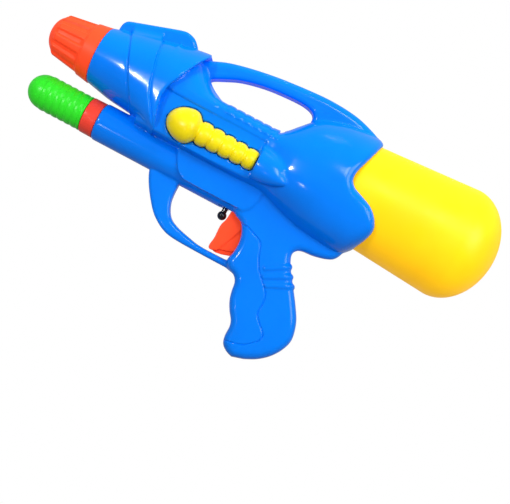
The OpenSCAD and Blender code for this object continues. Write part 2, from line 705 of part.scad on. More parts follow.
module pump_handle() {
    nose_l = handle_r - 0.4;
    rim_l = 2.4;
    pitch = (handle_l - rim_l - nose_l) / handle_ridges;
    color(green) translate([handle_x, 0, pump_z]) difference() {
        turned(concat(
            [[0, 0]],
            [for (i = [1:6]) let(a = 15 * i) [nose_l * (1 - cos(a)), (handle_r - 0.6) * sin(a)]],
            [for (k = [0:handle_ridges - 1], q = [[0.05, -0.6], [0.2, 0], [0.75, 0], [0.9, -0.6]])
                [nose_l + pitch * (k + q[0]), handle_r + q[1]]],
            [[handle_l - rim_l, handle_r - 0.6], [handle_l - rim_l + 0.6, handle_r], [handle_l, handle_r], [handle_l, 0]]
        ));
        turned([[14, rod_r + 3], [12, rod_r + 5], [20, handle_r - 2.6], [handle_l + 1, handle_r - 2.6],
            [handle_l + 1, rod_r + 3]]);
        bar(rod_seat, handle_l, rod_r + running);
    }
}

module pump_rod() {
    color(white) bar(handle_x + rod_seat, piston_x - handle_x - rod_seat + piston_l - 3, rod_r, 0, pump_z);
}

module pump_piston() {
    color(red) translate([0, 0, pump_z]) difference() {
        bar(piston_x, piston_l, pump_bore_r - 2 * running);
        bar(piston_x - 1, piston_l - 2, rod_r + running);
        turned([[piston_x + 4, pump_bore_r + 1], [piston_x + 4, pump_bore_r - 2.4], [piston_x + 6.4, pump_bore_r - 2.4],
            [piston_x + 6.4, pump_bore_r + 1]]);
    }
}

module piston_seal() {
    color(black) translate([piston_x + 5.2, 0, pump_z]) rotate([0, 90, 0]) rotate_extrude()
        translate([pump_bore_r - 1.2, 0]) circle(1.2 - running);
}

module pump_collar() {
    color(red) translate([0, 0, pump_z]) difference() {
        union() {
            turned([[collar_x, 0], [collar_x, collar_r - 0.8], [collar_x + 0.8, collar_r], [tube_rim_x, collar_r],
                [tube_rim_x, 0]]);
            bar(tube_rim_x - 1, 6, pump_bore_r - running);
        }
        bar(collar_x - 1, collar_l + 10, rod_r + running);
        turned([[collar_x + 3, rod_r + 2.5], [collar_x + 3, collar_r - 2.2], [tube_rim_x - 2, collar_r - 4],
            [tube_rim_x + 3, collar_r - 6], [tube_rim_x + 6, collar_r - 6], [tube_rim_x + 6, rod_r + 2.5]]);
    }
}

module pump_cylinder() {
    color(white) translate([0, 0, pump_z]) difference() {
        bar(tube_rim_x, cylinder_l, pump_bore_r + pump_wall);
        bar(tube_rim_x - 1, cylinder_end_x - tube_rim_x + 1, pump_bore_r);
        bar(tube_rim_x, cylinder_l + 1, spigot_bore_r);
    }
}

module check_valve_body() {
    color(white) translate([0, 0, pump_z]) difference() {
        union() {
            bar(check_x, check_l, check_r);
            bar(check_x + check_l - 1, spigot_l + 1, spigot_r, air_y);
        }
        bar(check_x - 1, check_l, spigot_bore_r);
        bar(check_x + 2, check_l - 4, check_r - 2);
        bar(check_x + 4, check_l + spigot_l, spigot_bore_r, air_y);
    }
}

module check_valve_disc() {
    color(black) bar(check_x + 2.1, 1.6, check_r - 4, 0, pump_z);
}

// Trigger valve

module valve_body() {
    color(white) difference() {
        union() {
            translate([valve_x, 0, valve_cap_top_z]) cylinder(h = valve_top_z - valve_cap_top_z, r = valve_r);
            translate([valve_x, 0, valve_top_z - 1]) cylinder(h = spigot_l + 1, r = spigot_r);
            bar(valve_x, valve_r + spigot_l, spigot_r, 0, inlet_z);
        }
        translate([valve_x, 0, valve_cap_top_z - 1]) cylinder(h = valve_seat_z - valve_cap_top_z + 1, r = valve_cavity_r);
        translate([valve_x, 0, valve_seat_z - 1]) cylinder(h = 30, r = spigot_bore_r);
        bar(valve_x, valve_r + spigot_l + 1, spigot_bore_r, 0, inlet_z);
    }
}

module valve_cap() {
    color(white) translate([valve_x, 0, valve_bottom_z]) difference() {
        cylinder(h = valve_cap_top_z - valve_bottom_z, r = valve_r);
        translate([0, 0, -1]) cylinder(h = 20, r = stem_r + running);
    }
}

module valve_stem() {
    color(black) translate([valve_x, 0, 0]) {
        translate([0, 0, ball_z]) sphere(r = ball_r);
        translate([0, 0, ball_z]) cylinder(h = seal_seat_z - ball_z, r = stem_r);
        translate([0, 0, stem_collar_top_z - stem_collar_t]) cylinder(h = stem_collar_t, r = ball_r);
        translate([0, 0, seal_seat_z - stem_head_t]) cylinder(h = stem_head_t, r = valve_cavity_r - 0.6);
    }
}

module valve_seal() {
    color(black) translate([valve_x, 0, seal_seat_z]) cylinder(h = 2.1, r = valve_cavity_r - 0.9);
}

module valve_spring() {
    color(steel) translate([valve_x, 0, valve_cap_top_z + 0.1])
        coil(radius = stem_r + 1, wire = 0.4, turns = 5, height = seal_seat_z - stem_head_t - valve_cap_top_z - 0.2);
}

// Trigger

trigger_front = smooth([[177.2, -56], [176.6, -63], [177.1, -70.3], [175.9, -78], [174.6, -84], [174.8, -86.4],
    [176.4, -87.2], [179.4, -86.6], [183.8, -84.6], [190.6, -82.6], [194.6, -80.4]]);
trigger_back = smooth([[195.8, -74], [195, -66], [192, -58], [187, -50.6]]);

module trigger() {
    color(orange) difference() {
        union() {
            prism(concat(trigger_front, trigger_back, [[181, -50.6]]), blade_w);
            translate([pivot[0], 0, pivot[1]]) rotate([90, 0, 0])
                cylinder(h = 2 * trigger_hub_w, r = hub_r, center = true);
            prism([[valve_x, nose_z + nose_r], [valve_x, nose_z - nose_r], [valve_x + 4.6, nose_z - nose_r],
                [182, nose_z - nose_r - 1.6], [186, pivot[1] - 2], [pivot[0], pivot[1] + 1.4]], trigger_hub_w);
            translate([valve_x, 0, nose_z]) rotate([90, 0, 0])
                cylinder(h = 2 * trigger_hub_w, r = nose_r, center = true);
        }
        translate([pivot[0], 0, pivot[1]]) rotate([90, 0, 0])
            cylinder(h = 4 * blade_w, r = pin_r + running, center = true);
        translate([valve_x - 4, -fork_w, nose_z - 10]) cube([8, 2 * fork_w, 20]);
        prism([[185.5, -58], [180.4, -64], [180.4, -78], [181.4, -82], [200, -76], [200, -64]], blade_w - 1.8);
    }
}

module trigger_pin() {
    color(steel) translate([pivot[0], 0, pivot[1]]) rotate([90, 0, 0])
        cylinder(h = 2 * pin_half, r = pin_r, center = true);
}

module trigger_spring() {
    color(steel) translate([pivot[0], trigger_hub_w + 0.3, pivot[1]]) rotate([-90, 0, 0])
        coil(radius = pin_r + 0.9, wire = 0.5, turns = 4, height = 4.4);
}

// Tank

module tank() {
    shoulder_r = tank_radius(shoulder_x + shoulder_l);
    function outline(d) = concat(
        [[neck_x, 0], [neck_x, neck_r - d], [shoulder_x, neck_r - d]],
        [for (i = [1:6]) let(a = 15 * i)
            [shoulder_x + d + shoulder_l * (1 - cos(a)), neck_r - d + (shoulder_r - neck_r) * sin(a)]],
        [for (i = [0:9]) let(a = 10 * i)
            [tank_dome_x + (tank_dome_l - d) * sin(a), max(0, (tank_r - d) * cos(a))]]
    );
    color(yellow) difference() {
        turned(outline(0));
        turned(outline(tank_wall));
        bar(neck_x - 1, 5, neck_r - tank_wall);
    }
}

module tank_socket() {
    color(white) difference() {
        union() {
            bar(socket_x, socket_l, socket_r);
            bar(flange_x, flange_t, flange_r);
            bar(socket_x - spigot_l, spigot_l + 1, spigot_r, 0, supply_z);
            bar(socket_x - spigot_l, spigot_l + 1, spigot_r, air_y, air_z);
            bar(socket_x, socket_front_t + spigot_l, spigot_r, 0, supply_z);
        }
        difference() {
            bar(socket_x + socket_front_t, socket_l, neck_r + move_gap);
            bar(socket_x, socket_front_t + spigot_l, spigot_r, 0, supply_z);
        }
        bar(socket_x - 20, 60, spigot_bore_r, 0, supply_z);
        bar(socket_x - 20, 60, spigot_bore_r, air_y, air_z);
    }
}

module tank_gasket() {
    color(black) tube(gasket_x, gasket_t, neck_r - 0.3, neck_r - tank_wall - 0.8);
}

module dip_tube() {
    start_x = socket_x + socket_front_t + 0.3;
    foot_x = tank_dome_x - 20;
    foot_z = -tank_r + tank_wall + 8;
    color(clear) {
        tube(start_x, foot_x - start_x, hose_r, hose_bore_r, 0, supply_z);
        bend([foot_x, supply_z - hose_bend], hose_bend, 0);
        translate([foot_x + hose_bend, 0, foot_z]) difference() {
            cylinder(h = supply_z - hose_bend - foot_z, r = hose_r);
            translate([0, 0, -1]) cylinder(h = tank_r, r = hose_bore_r);
        }
    }
}

// Trim

module trim(side) {
    head = [for (i = [0:6]) let(a = 15 * i) [trim_x + trim_head_l * (1 - cos(a)), trim_r * sin(a)]];
    profile = concat(
        head,
        [[trim_x + trim_head_l + 3, trim_r - 0.8], [ring_x - 1, trim_ring_r - 1]],
        [for (k = [0:trim_rings - 1]) let(x = ring_x + ring_pitch * k, r = trim_ring_r - ring_shrink * k)
            each [[x, r - 1], [x, r - 0.5], [x + 0.6, r], [x + ring_l - 0.6, r], [x + ring_l, r - 0.5],
                [x + ring_l, r - 1.6]]],
        [[trim_end_x, 0]]
    );
    color(yellow) translate([0, side * channel_y, trim_z]) {
        intersection() {
            turned(profile);
            translate([0, side > 0 ? 0 : -big, -big]) cube([big, big, 2 * big]);
        }
        for (x = peg_spots) translate([x, 0, 0]) rotate([side * 90, 0, 0])
            translate([0, 0, -1]) cylinder(h = 5, r = peg_r);
    }
}

module left_trim() { trim(-1); }
module right_trim() { trim(1); }

left_shell();
right_shell();
shell_screws();
nozzle_cap();
nozzle_seal();
barrel_tube();
outlet_hose();
supply_hose();
air_hose();
pump_handle();
pump_rod();
pump_piston();
piston_seal();
pump_collar();
pump_cylinder();
check_valve_body();
check_valve_disc();
valve_body();
valve_cap();
valve_stem();
valve_seal();
valve_spring();
trigger();
trigger_pin();
trigger_spring();
tank();
tank_socket();
tank_gasket();
dip_tube();
left_trim();
right_trim();
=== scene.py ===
"""Looks of a hand-pumped water squirter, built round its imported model.

The moulded housing, the trigger and the screws are signed-distance forms in millimetres that are meshed
on a grid. Turned pieces are swept profiles. Everything is placed in the frame of the model.
"""

import json
import math

import bmesh
import bpy
import numpy as np
from mathutils import Matrix, Vector


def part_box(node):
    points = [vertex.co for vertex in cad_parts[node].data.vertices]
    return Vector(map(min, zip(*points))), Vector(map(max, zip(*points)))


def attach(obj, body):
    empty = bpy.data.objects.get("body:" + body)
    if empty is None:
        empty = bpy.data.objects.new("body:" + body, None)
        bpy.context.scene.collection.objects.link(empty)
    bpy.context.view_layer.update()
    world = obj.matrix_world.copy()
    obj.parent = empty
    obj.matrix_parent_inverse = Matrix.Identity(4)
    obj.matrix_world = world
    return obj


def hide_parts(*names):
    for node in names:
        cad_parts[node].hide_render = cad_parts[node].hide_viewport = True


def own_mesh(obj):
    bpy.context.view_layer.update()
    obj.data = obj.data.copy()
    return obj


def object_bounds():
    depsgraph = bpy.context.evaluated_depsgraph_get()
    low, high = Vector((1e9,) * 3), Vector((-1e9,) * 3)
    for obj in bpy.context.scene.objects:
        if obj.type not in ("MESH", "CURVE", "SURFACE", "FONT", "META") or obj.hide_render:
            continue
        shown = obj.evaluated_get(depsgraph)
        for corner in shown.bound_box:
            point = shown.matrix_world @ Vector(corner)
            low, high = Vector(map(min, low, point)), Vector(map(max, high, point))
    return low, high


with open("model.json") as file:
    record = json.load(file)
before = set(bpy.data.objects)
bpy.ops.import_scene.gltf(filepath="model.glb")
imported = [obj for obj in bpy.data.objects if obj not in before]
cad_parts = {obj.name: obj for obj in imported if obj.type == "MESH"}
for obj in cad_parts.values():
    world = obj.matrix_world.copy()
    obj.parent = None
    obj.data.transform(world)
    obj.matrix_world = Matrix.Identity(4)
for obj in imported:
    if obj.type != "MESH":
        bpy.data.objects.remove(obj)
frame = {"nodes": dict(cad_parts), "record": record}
cad_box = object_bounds()

MM = 0.001

# Stations and levels of the housing, in millimetres
RIM_X = 39.3
RIM_R = 22.0
LIP_X = 112.0
BODY_FRONT_X = 86.0
BODY_HALVES_Z = -5.5
WAIST_W = 27.0
WAIST_TOP_Z = 11.7
BULB_W = 42.5
REAR_X = 278.0
HOUSING_LOW_Z = -152
HOUSING_HIGH_Z = 52
STRAP_W = 8.5
STRAP_ROUND = 4.2
GUARD_W = 6.5
GRIP_W = 15.0
GRIP_ROUND = 5.5
GRIP_RIB_H = 1.2
GRIP_RIB_HALF = 2.4
WALL = 2.4
HUMP_W = 7.0
HUMP_ROUND = 2.6
BAND_H = 1.1
BAND_GROOVE_H = 0.4
BAND_GROOVE_W = 0.7
BAND_GROOVE_AT = 0.9
BAND_FOOT_Z = -31
BAND_FOOT_H = 9.0
RIB_X = 142.4
RIB_PITCH = 7.27
RIB_HALF = 3.3
RIB_H = 0.55
RIBS = 6
RIB_END = ((173.0, 1.0), (183.4, 14.0))
NOTCH_W = 0.9
NOTCH_LOW_H = 0.4
NOTCH_TOP_H = 1.6
GROOVE_H = 0.8
GROOVE_W = 0.5
GROOVE_FRONT_Y = 8.5
CHANNEL_TOP_Z = 2.0
CHANNEL_BOTTOM_Z = -31.0
CHANNEL_FRONT_X = 88
CHANNEL_BACK_X = 180.0
CHANNEL_Y = 25.5
CHANNEL_FLOOR_Y = 26.2
POCKET_H = 1.6
POCKET_GAP = 0.8
PUMP_Z = -42.5
TUBE_R = 14.3
TUBE_RIM_X = 61.0
TUBE_BACK_X = 186
TUBE_BORE_R = 12.5
TUBE_BORE_BACK_X = 150
UNDER_Z = PUMP_Z - TUBE_R
PAD_W = TUBE_R + 2
BRIDGE_W = TUBE_R - 6
GUARD_TOP_Z = -88.6
BARREL_BORE_R = 7.3
BARREL_BORE_BACK_X = 110
HOLLOW_BACK_X = REAR_X - 40

# Turned pieces, in millimetres
NOZZLE_L = 39.2
NOZZLE_FRONT_R = 16.0
NOZZLE_BACK_R = 19.4
JET_R = 1.5
FLUTES = 11
FLUTE_H = 1.5
CAP_BORE_R = 7.06
CAP_SLEEVE_R = 9.3
HANDLE_X = 3.4
HANDLE_L = 46.8
HANDLE_R = 13.3
HANDLE_RIDGES = 6
HANDLE_RIM_L = 2.4
ROD_R = 4.0
COLLAR_X = 50.5
COLLAR_R = 13.7
TANK_R = 42.68
TANK_TAPER = math.radians(4.2)
TANK_DOME_X = 329.5
TANK_DOME_L = 33.0
TANK_WALL = 2.0
TANK_GAP = 0.5
NECK_X = 211.4
NECK_R = 16.0
SHOULDER_X = 232.4
SHOULDER_L = 17.0
TRIM_X = 103.0
TRIM_Z = -15.4
TRIM_R = 13.3
TRIM_HEAD_L = 17.5
TRIM_NECK_L = 8.0
TRIM_RINGS = 5
RING_PITCH = 9.6
RING_L = 8.6
RING_R = 9.2
RING_SHRINK = 0.36

# Trigger and stem, in millimetres
PIVOT = (184.0, -46.0)
STEM_X = 172.4
STEM_HOLE_R = 3.7
STEM_HOLE_Z = -55
STEM_HOLE_HALF_L = 14
BLADE_W = 5.5
HUB_R = 3.8
HUB_W = 4.0
PIN_R = 2.0
NOSE_R = 2.2
FORK_W = 2.5
FOLD = (189.7, -65.9)
FOLD_NORMAL = (0.922, -0.388)
FOLD_H = 0.9
SPRING_WIRE = 0.4
SPRING_TURNS = 5

# Screw seats on the parting plane, in millimetres
SCREW_SPOTS = ((52, -15.5), (84, 21), (160, 41.2), (127, -72), (212, -64), (228, -128), (226, 43.6),
               (242, -51.5))
SCREW_SEAT_Y = 3.0
SCREW_WELL_R = 3.3
SCREW_R = 1.5
SCREW_L = 8.0
SCREW_HEAD_R = 3.0
SCREW_HEAD_T = 2.2
SCREW_RECESS_R = 1.8
SCREW_RECESS_W = 0.45

# Eye of the picture, in millimetres in front of the parting plane
EYE_X = 206.3
EYE_Z = -73.7
EYE_D = 690.0

# Curves through given points, as rows of x and value
SHROUD_TOP = ((RIM_X, RIM_R), (48, RIM_R + 2.5), (74, RIM_R + 8.7), (101, RIM_R + 14.8),
              (LIP_X, RIM_R + 16.4))
SHROUD_BOTTOM = ((RIM_X, RIM_R - 0.6), (48, RIM_R + 1.2), (60, RIM_R + 3.5), (75, RIM_R + 5), (87, RIM_R + 7),
                 (99, RIM_R + 12.5), (LIP_X, RIM_R + 15))
SHROUD_SIDE = ((RIM_X, RIM_R), (60, RIM_R + 4.5), (75, RIM_R + 7), (99, RIM_R + 12), (LIP_X, RIM_R + 14))
BODY_TOP = ((85, WAIST_TOP_Z), (178, WAIST_TOP_Z), (185, 14.2), (192, 21.8), (198, 28.4), (205, 33.8),
            (214, 37.2), (226, 40), (246, 41.2), (256, 40.4), (REAR_X, 40.6))
BODY_BOTTOM = ((85, -34), (178, -34), (190, -35.2), (201, -38.5), (214, -42.6), (226, -45.5), (246, -47.8),
               (258, -48), (268, -43.6), (REAR_X, -41.6))
BODY_SIDE = ((85, WAIST_W - 9), (94, WAIST_W - 3), (102, WAIST_W), (172, WAIST_W), (182, WAIST_W + 1.6),
             (192, BULB_W - 9.5), (201, BULB_W - 5.6), (214, BULB_W - 2.2), (226, BULB_W - 0.6),
             (246, BULB_W), (262, BULB_W - 0.7), (REAR_X, BULB_W - 1.4))
BODY_SHOULDER = ((85, CHANNEL_TOP_Z), (172, CHANNEL_TOP_Z), (200, -4), (REAR_X, -3))
BODY_HIP = ((85, -27.5), (172, -27.5), (200, -8), (REAR_X, -7))
BODY_SQUARE = ((85, 2.6), (170, 2.6), (200, 2.1), (REAR_X, 2.05))
BODY_SQUARE_LOW = ((85, 2.6), (170, 2.6), (200, 2.4), (REAR_X, 2.3))
SHROUD_SQUARE = ((RIM_X, 2.0), (56, 2.05), (76, 2.5), (90, 3.2), (98, 3.7), (LIP_X, 3.7))
NECK_TOP = ((86, 35), (104, 31.5), (112, 27), (119, 20.4), (126, 14.8), (134, 11))
NECK_SIDE = ((86, 28), (100, 27.8), (112, 27.5), (124, 27), (134, 26.6))


def curve(table, x):
    """Smooth value at x of rows of x and value."""
    rows = np.array(table, float)
    at = rows[:, 0]
    value = rows[:, 1]
    slope = np.gradient(value, at)
    slope[1:-1] = (value[2:] - value[:-2]) / (at[2:] - at[:-2])
    i = np.clip(np.searchsorted(at, x, side="right") - 1, 0, len(at) - 2)
    h = at[i + 1] - at[i]
    s = np.clip((x - at[i]) / h, 0, 1)
    rest = 1 - s
    rise = value[i] * (1 + 2 * s) * rest ** 2 + h * slope[i] * s * rest ** 2
    return rise + value[i + 1] * s * s * (3 - 2 * s) - h * slope[i + 1] * s * s * rest


def smooth(points, steps=6):
    """Open smooth line through points, as a list of points."""
    p = np.array(points, float)
    line = []
    for i in range(len(p) - 1):
        a = p[max(0, i - 1)]
        b = p[i]
        c = p[i + 1]
        d = p[min(len(p) - 1, i + 2)]
        for s in np.arange(steps) / steps:
            line.append(0.5 * (2 * b + (c - a) * s + (2 * a - 5 * b + 4 * c - d) * s ** 2
                               + (3 * b - a - 3 * c + d) * s ** 3))
    line.append(p[-1])
    return [tuple(q) for q in line]


# Side outlines of the housing, in x and z
SHROUD_EDGE = ([(20, 60), (20, -60), (102, -60), (100, -40)]
               + smooth([(98, -27), (94, -16), (92.2, -6), (93, 3), (96, 10.5), (104, 26.5), (112, 38)])
               + [(113, 45), (114, 60)])
BAND = (smooth([(50.6, 29), (53.4, 20.5), (58, 8.8), (65, -5.9), (73, -18.6), (79, -30), (84, -42)])
        + smooth([(104, -44), (99, -33), (91.3, -20.9), (82, -5.9), (77.4, 10.2), (75.2, 19), (74, 33)])
        + [(74, 50), (46, 50)])
BLOCK = (smooth([(101, 36), (97.5, 40.6), (93.5, 43.4), (87.8, 44.6), (82, 43.4)])
         + smooth([(48.5, 32.4), (45.5, 31), (43.4, 28), (42.8, 24)]) + [(44, 18), (98, 28)])
STRAP = (smooth([(253.6, 37.4), (246.5, 41.6), (235.5, 45.6), (226, 48), (214.7, 49.3), (201, 49.7),
                 (185, 48.8), (164.5, 46.8), (148.4, 44.4), (133.7, 41.4), (123, 38.4), (113, 34.2),
                 (104, 30)])
         + [(99, 25), (97, 8), (104, 2), (135, 4), (135, 11)]
         + smooth([(131, 12.8), (125.5, 15.8), (121, 19), (119.2, 22), (128, 26.8), (139.2, 31.6),
                   (154.2, 35.2), (168, 36.9), (185, 37.6), (194, 36), (197.4, 33), (197.8, 29)])
         + [(204, 24), (240, 28), (252, 32)])
GUARD = (smooth([(109, -52), (110.5, -58), (113.5, -64.4), (118.7, -72.5), (125.7, -81.3), (131.5, -86.4),
                 (139.2, -90.8), (148.4, -93), (168, -93.7), (196, -93.8)])
         + [(200, -93.8)]
         + smooth([(200, GUARD_TOP_Z), (171, GUARD_TOP_Z - 0.4), (158, -87), (147.2, -84.2), (140.3, -80.4),
                   (135.9, -73.2), (134.2, -65), (134.2, -50)]))
GRIP = (smooth([(182, UNDER_Z - 0.4), (187, -59.6), (190.8, -65.6), (192.7, -73.2), (192.4, -81.3),
                (191, -88), (194.5, -93.2), (200, -95.6), (203.4, -100), (204.6, -107), (206.4, -113.5),
                (209.8, -120), (214, -126), (215.6, -132), (215.6, -139), (217.4, -144), (221.6, -147.4),
                (226.7, -149.2)])
        + smooth([(235.5, -146.6), (244.3, -142), (252.3, -135), (258, -126), (260, -117), (257, -105),
                  (251.3, -95.2), (245.7, -87.1), (239.9, -79.1), (234, -70.4), (231, -63.4), (232.4, -59.4),
                  (237, -57), (246.5, -56), (256.7, -53.2), (262.4, -48.6), (267, -40.6)])
        + [(262, -30), (200, -24), (178, -30), (178, UNDER_Z + 3)])
GRIP_PANEL = (smooth([(193, -60), (204.4, -64.4), (207.7, -68), (210.6, -75.8), (214.7, -83.4),
                      (221.6, -90.8), (227.4, -97.3), (228.9, -104.7), (228.9, -112.4), (233, -117.8),
                      (239.2, -123.7), (239.9, -127.4), (237.7, -131.8), (229.6, -138.3), (217.9, -141)])
              + [(206, -141), (180, -100), (180, -60)])
PAD = [(160, -26)] + smooth([(120, -31), (124, -40.5), (128, -46.8), (132.5, -50.2), (139.2, -51.4),
                             (179.3, -51.4), (184.5, -50.4), (188.4, -46.5), (190.5, -40), (191.5, -31)])
REAR_EDGE = (smooth([(254, 46), (254, 39), (253, 36.4), (248.3, 22.7), (245.2, 13), (245.2, 7), (249, 2.4),
                     (257, -0.8), (265, -4.2), (270.6, -9), (274.4, -15), (275.6, -20), (274, -27),
                     (270, -36), (265, -46)])
             + [(265, -70), (320, -70), (320, 70), (254, 70)])
CHANNEL = [(80, CHANNEL_BOTTOM_Z + 2), (80, CHANNEL_TOP_Z - 0.6), (CHANNEL_BACK_X - 4, CHANNEL_TOP_Z - 0.6),
           (CHANNEL_BACK_X - 3, CHANNEL_BOTTOM_Z + 2)]
TRIGGER_SLOT = [(166.4, -55.6), (166.4, -40.6), (188.4, -40.6), (197, -46), (210, -78), (208, -90),
                (196, -88.5), (173, -88.5), (172, UNDER_Z - 12), (175.4, UNDER_Z - 1), (175.4, -55.6)]
BRIDGE = [(80, -20), (84, PUMP_Z), (190, PUMP_Z), (190, -20)]
TRIGGER_BLADE = (smooth([(177.2, -56), (176.6, -62.5), (175.2, -67), (174.9, -71), (175.2, -78),
                         (174.4, -84), (174.8, -86.4), (176.4, -87.2), (179.4, -86.6), (183.8, -84.6),
                         (190.6, -82.6), (194.6, -80.4)])
                 + smooth([(195.8, -74), (195, -66), (192, -58), (187, -50.6)]) + [(181, -50.6)])
TRIGGER_WEB = [(177.6, -84), (178.4, -87.2), (181, -87.6), (185.6, -86.8), (191.4, -85), (193.6, -80),
               (186, -76)]
TRIGGER_ARM = [(172.4, -48), (172.4, -52.4), (177, -52.4), (182, -54), (186, -48), (184, -44.6)]


def trim_profile():
    """Half-outline of the bullet-shaped trim, as rows of x and radius."""
    ring_x = TRIM_X + TRIM_HEAD_L + TRIM_NECK_L
    valley = 1.5
    rows = [(TRIM_X + TRIM_HEAD_L * (1 - math.cos(a)), TRIM_R * math.sin(a))
            for a in np.radians(np.arange(6, 91, 7))]
    rows += [(ring_x - 6.4, TRIM_R - 0.35), (ring_x - 4.6, TRIM_R - 1.2), (ring_x - 3.0, TRIM_R - 2.6),
             (ring_x - 1.6, TRIM_R - 4.4), (ring_x - 0.7, RING_R - 1.3)]
    for k in range(TRIM_RINGS):
        r = RING_R - RING_SHRINK * k
        for s in np.linspace(0, 1, 13):
            x = ring_x + RING_PITCH * k + RING_L * s
            rows.append((x, r - valley + valley * math.sin(math.pi * s) ** 0.45))
    return rows


TRIM_POCKET = ([(TRIM_X - POCKET_GAP, TRIM_Z)] + [(x, TRIM_Z + r + POCKET_GAP) for x, r in trim_profile()]
               + [(x, TRIM_Z - r - POCKET_GAP) for x, r in reversed(trim_profile())])


class Outline:
    """Signed distance to a closed outline in x and z, negative inside, looked up on a fine grid."""

    PITCH = 0.5
    MARGIN = 12.0

    def __init__(self, points):
        p = np.array(points, float)
        self.low = p.min(0) - self.MARGIN
        self.high = p.max(0) + self.MARGIN
        x = np.arange(self.low[0], self.high[0] + self.PITCH, self.PITCH)[:, None]
        z = np.arange(self.low[1], self.high[1] + self.PITCH, self.PITCH)[None, :]
        nearest = np.full((x.size, z.size), 1e9)
        inside = np.zeros(nearest.shape, bool)
        for a, b in zip(p, np.roll(p, -1, axis=0)):
            e = b - a
            length = float(e @ e)
            if length < 1e-9:
                continue
            wx = x - a[0]
            wz = z - a[1]
            t = np.clip((wx * e[0] + wz * e[1]) / length, 0, 1)
            nearest = np.minimum(nearest, (wx - t * e[0]) ** 2 + (wz - t * e[1]) ** 2)
            if e[1]:
                inside ^= ((a[1] > z) != (b[1] > z)) & (wx < e[0] * wz / e[1])
        self.values = np.where(inside, -1, 1) * np.sqrt(nearest)

    def __call__(self, x, z):
        cx = np.clip(x, self.low[0], self.high[0] - self.PITCH)
        cz = np.clip(z, self.low[1], self.high[1] - self.PITCH)
        gx = (cx - self.low[0]) / self.PITCH
        gz = (cz - self.low[1]) / self.PITCH
        i = np.minimum(gx.astype(int), self.values.shape[0] - 2)
        j = np.minimum(gz.astype(int), self.values.shape[1] - 2)
        s = gx - i
        t = gz - j
        v = self.values
        below = v[i, j] * (1 - s) + v[i + 1, j] * s
        above = v[i, j + 1] * (1 - s) + v[i + 1, j + 1] * s
        return below * (1 - t) + above * t + np.hypot(x - cx, z - cz)


# Operations on signed distances

def join(a, b, k):
    """Union with a fillet of about k."""
    h = np.clip(0.5 + 0.5 * (b - a) / k, 0, 1)
    return b + (a - b) * h - k * h * (1 - h)


def both(a, b, k):
    """Intersection with an edge rounded by about k."""
    return -join(-a, -b, k)


def cut(a, b, k):
    """a without b, with an edge rounded by about k."""
    return both(a, -b, k)


def ramp(d, width):
    """Smooth step from 0 to 1 as d goes from 0 to width."""
    s = np.clip(d / width, 0, 1)
    return s * s * (3 - 2 * s)


def slab(flat, y, half, r):
    """Outline of distance flat as a slab of half-thickness half, with edges rounded to r."""
    a = flat + r
    b = y - half + r
    return np.minimum(np.maximum(a, b), 0) + np.hypot(np.maximum(a, 0), np.maximum(b, 0)) - r


def loft(y, z, width, top, bottom, shoulder, hip, square):
    """Section with superellipse halves above the shoulder and below the hip."""
    rise = np.clip((z - shoulder) / (top - shoulder), 0, None) + np.clip((hip - z) / (hip - bottom), 0, None)
    height = np.where(z > shoulder, top - shoulder, hip - bottom)
    side = y / width
    reach = np.maximum((side ** square + rise ** square) ** (1 / square), 1e-6)
    slope = np.hypot(side ** (square - 1) / width, rise ** (square - 1) / height) * reach ** (1 - square)
    return (reach - 1) / np.maximum(slope, 0.02)


def nearing(y):
    """How much larger a side at y looks to the eye than the parting plane does. Near that plane it fades."""
    fade = 12.0
    return EYE_D / (EYE_D - np.abs(y) * ramp(np.abs(y), fade))


def seen(x, y, z):
    """Spot in the parting plane that the eye sees behind a point of the side. Outlines are drawn there."""
    s = nearing(y)
    return EYE_X + (x - EYE_X) * s, EYE_Z + (z - EYE_Z) * s


def segment(x, z, a, b):
    """Distance in x and z to the line from a to b."""
    ex = b[0] - a[0]
    ez = b[1] - a[1]
    t = np.clip(((x - a[0]) * ex + (z - a[1]) * ez) / (ex * ex + ez * ez), 0, 1)
    return np.hypot(x - a[0] - t * ex, z - a[1] - t * ez)


FLAT = {name: Outline(points) for name, points in (
    ("edge", SHROUD_EDGE), ("band", BAND), ("block", BLOCK), ("strap", STRAP), ("guard", GUARD),
    ("grip", GRIP), ("panel", GRIP_PANEL), ("pad", PAD), ("rear", REAR_EDGE), ("channel", CHANNEL),
    ("pocket", TRIM_POCKET), ("bridge", BRIDGE), ("slot", TRIGGER_SLOT), ("blade", TRIGGER_BLADE),
    ("web", TRIGGER_WEB), ("arm", TRIGGER_ARM))}


# Form of the housing

def shroud(x, y, z, detail=True):
    """Flared front housing with its slanted band."""
    belt = 0.5
    skin = loft(y, z, curve(SHROUD_SIDE, x), curve(SHROUD_TOP, x), -curve(SHROUD_BOTTOM, x), belt, -belt,
                np.where(z > 0, 2.0, curve(SHROUD_SQUARE, x)))
    spot = seen(x, y, z)
    if detail:
        line = FLAT["band"](*spot)
        foot = ramp(z - BAND_FOOT_Z, BAND_FOOT_H)
        groove = BAND_GROOVE_H * np.exp(-((line - BAND_GROOVE_AT) / BAND_GROOVE_W) ** 2)
        skin = skin - foot * (BAND_H * ramp(0.5 - line, 1.0) - groove)
    skin = both(skin, FLAT["edge"](*spot), 2.0)
    return both(skin, RIM_X - x, 0.4)


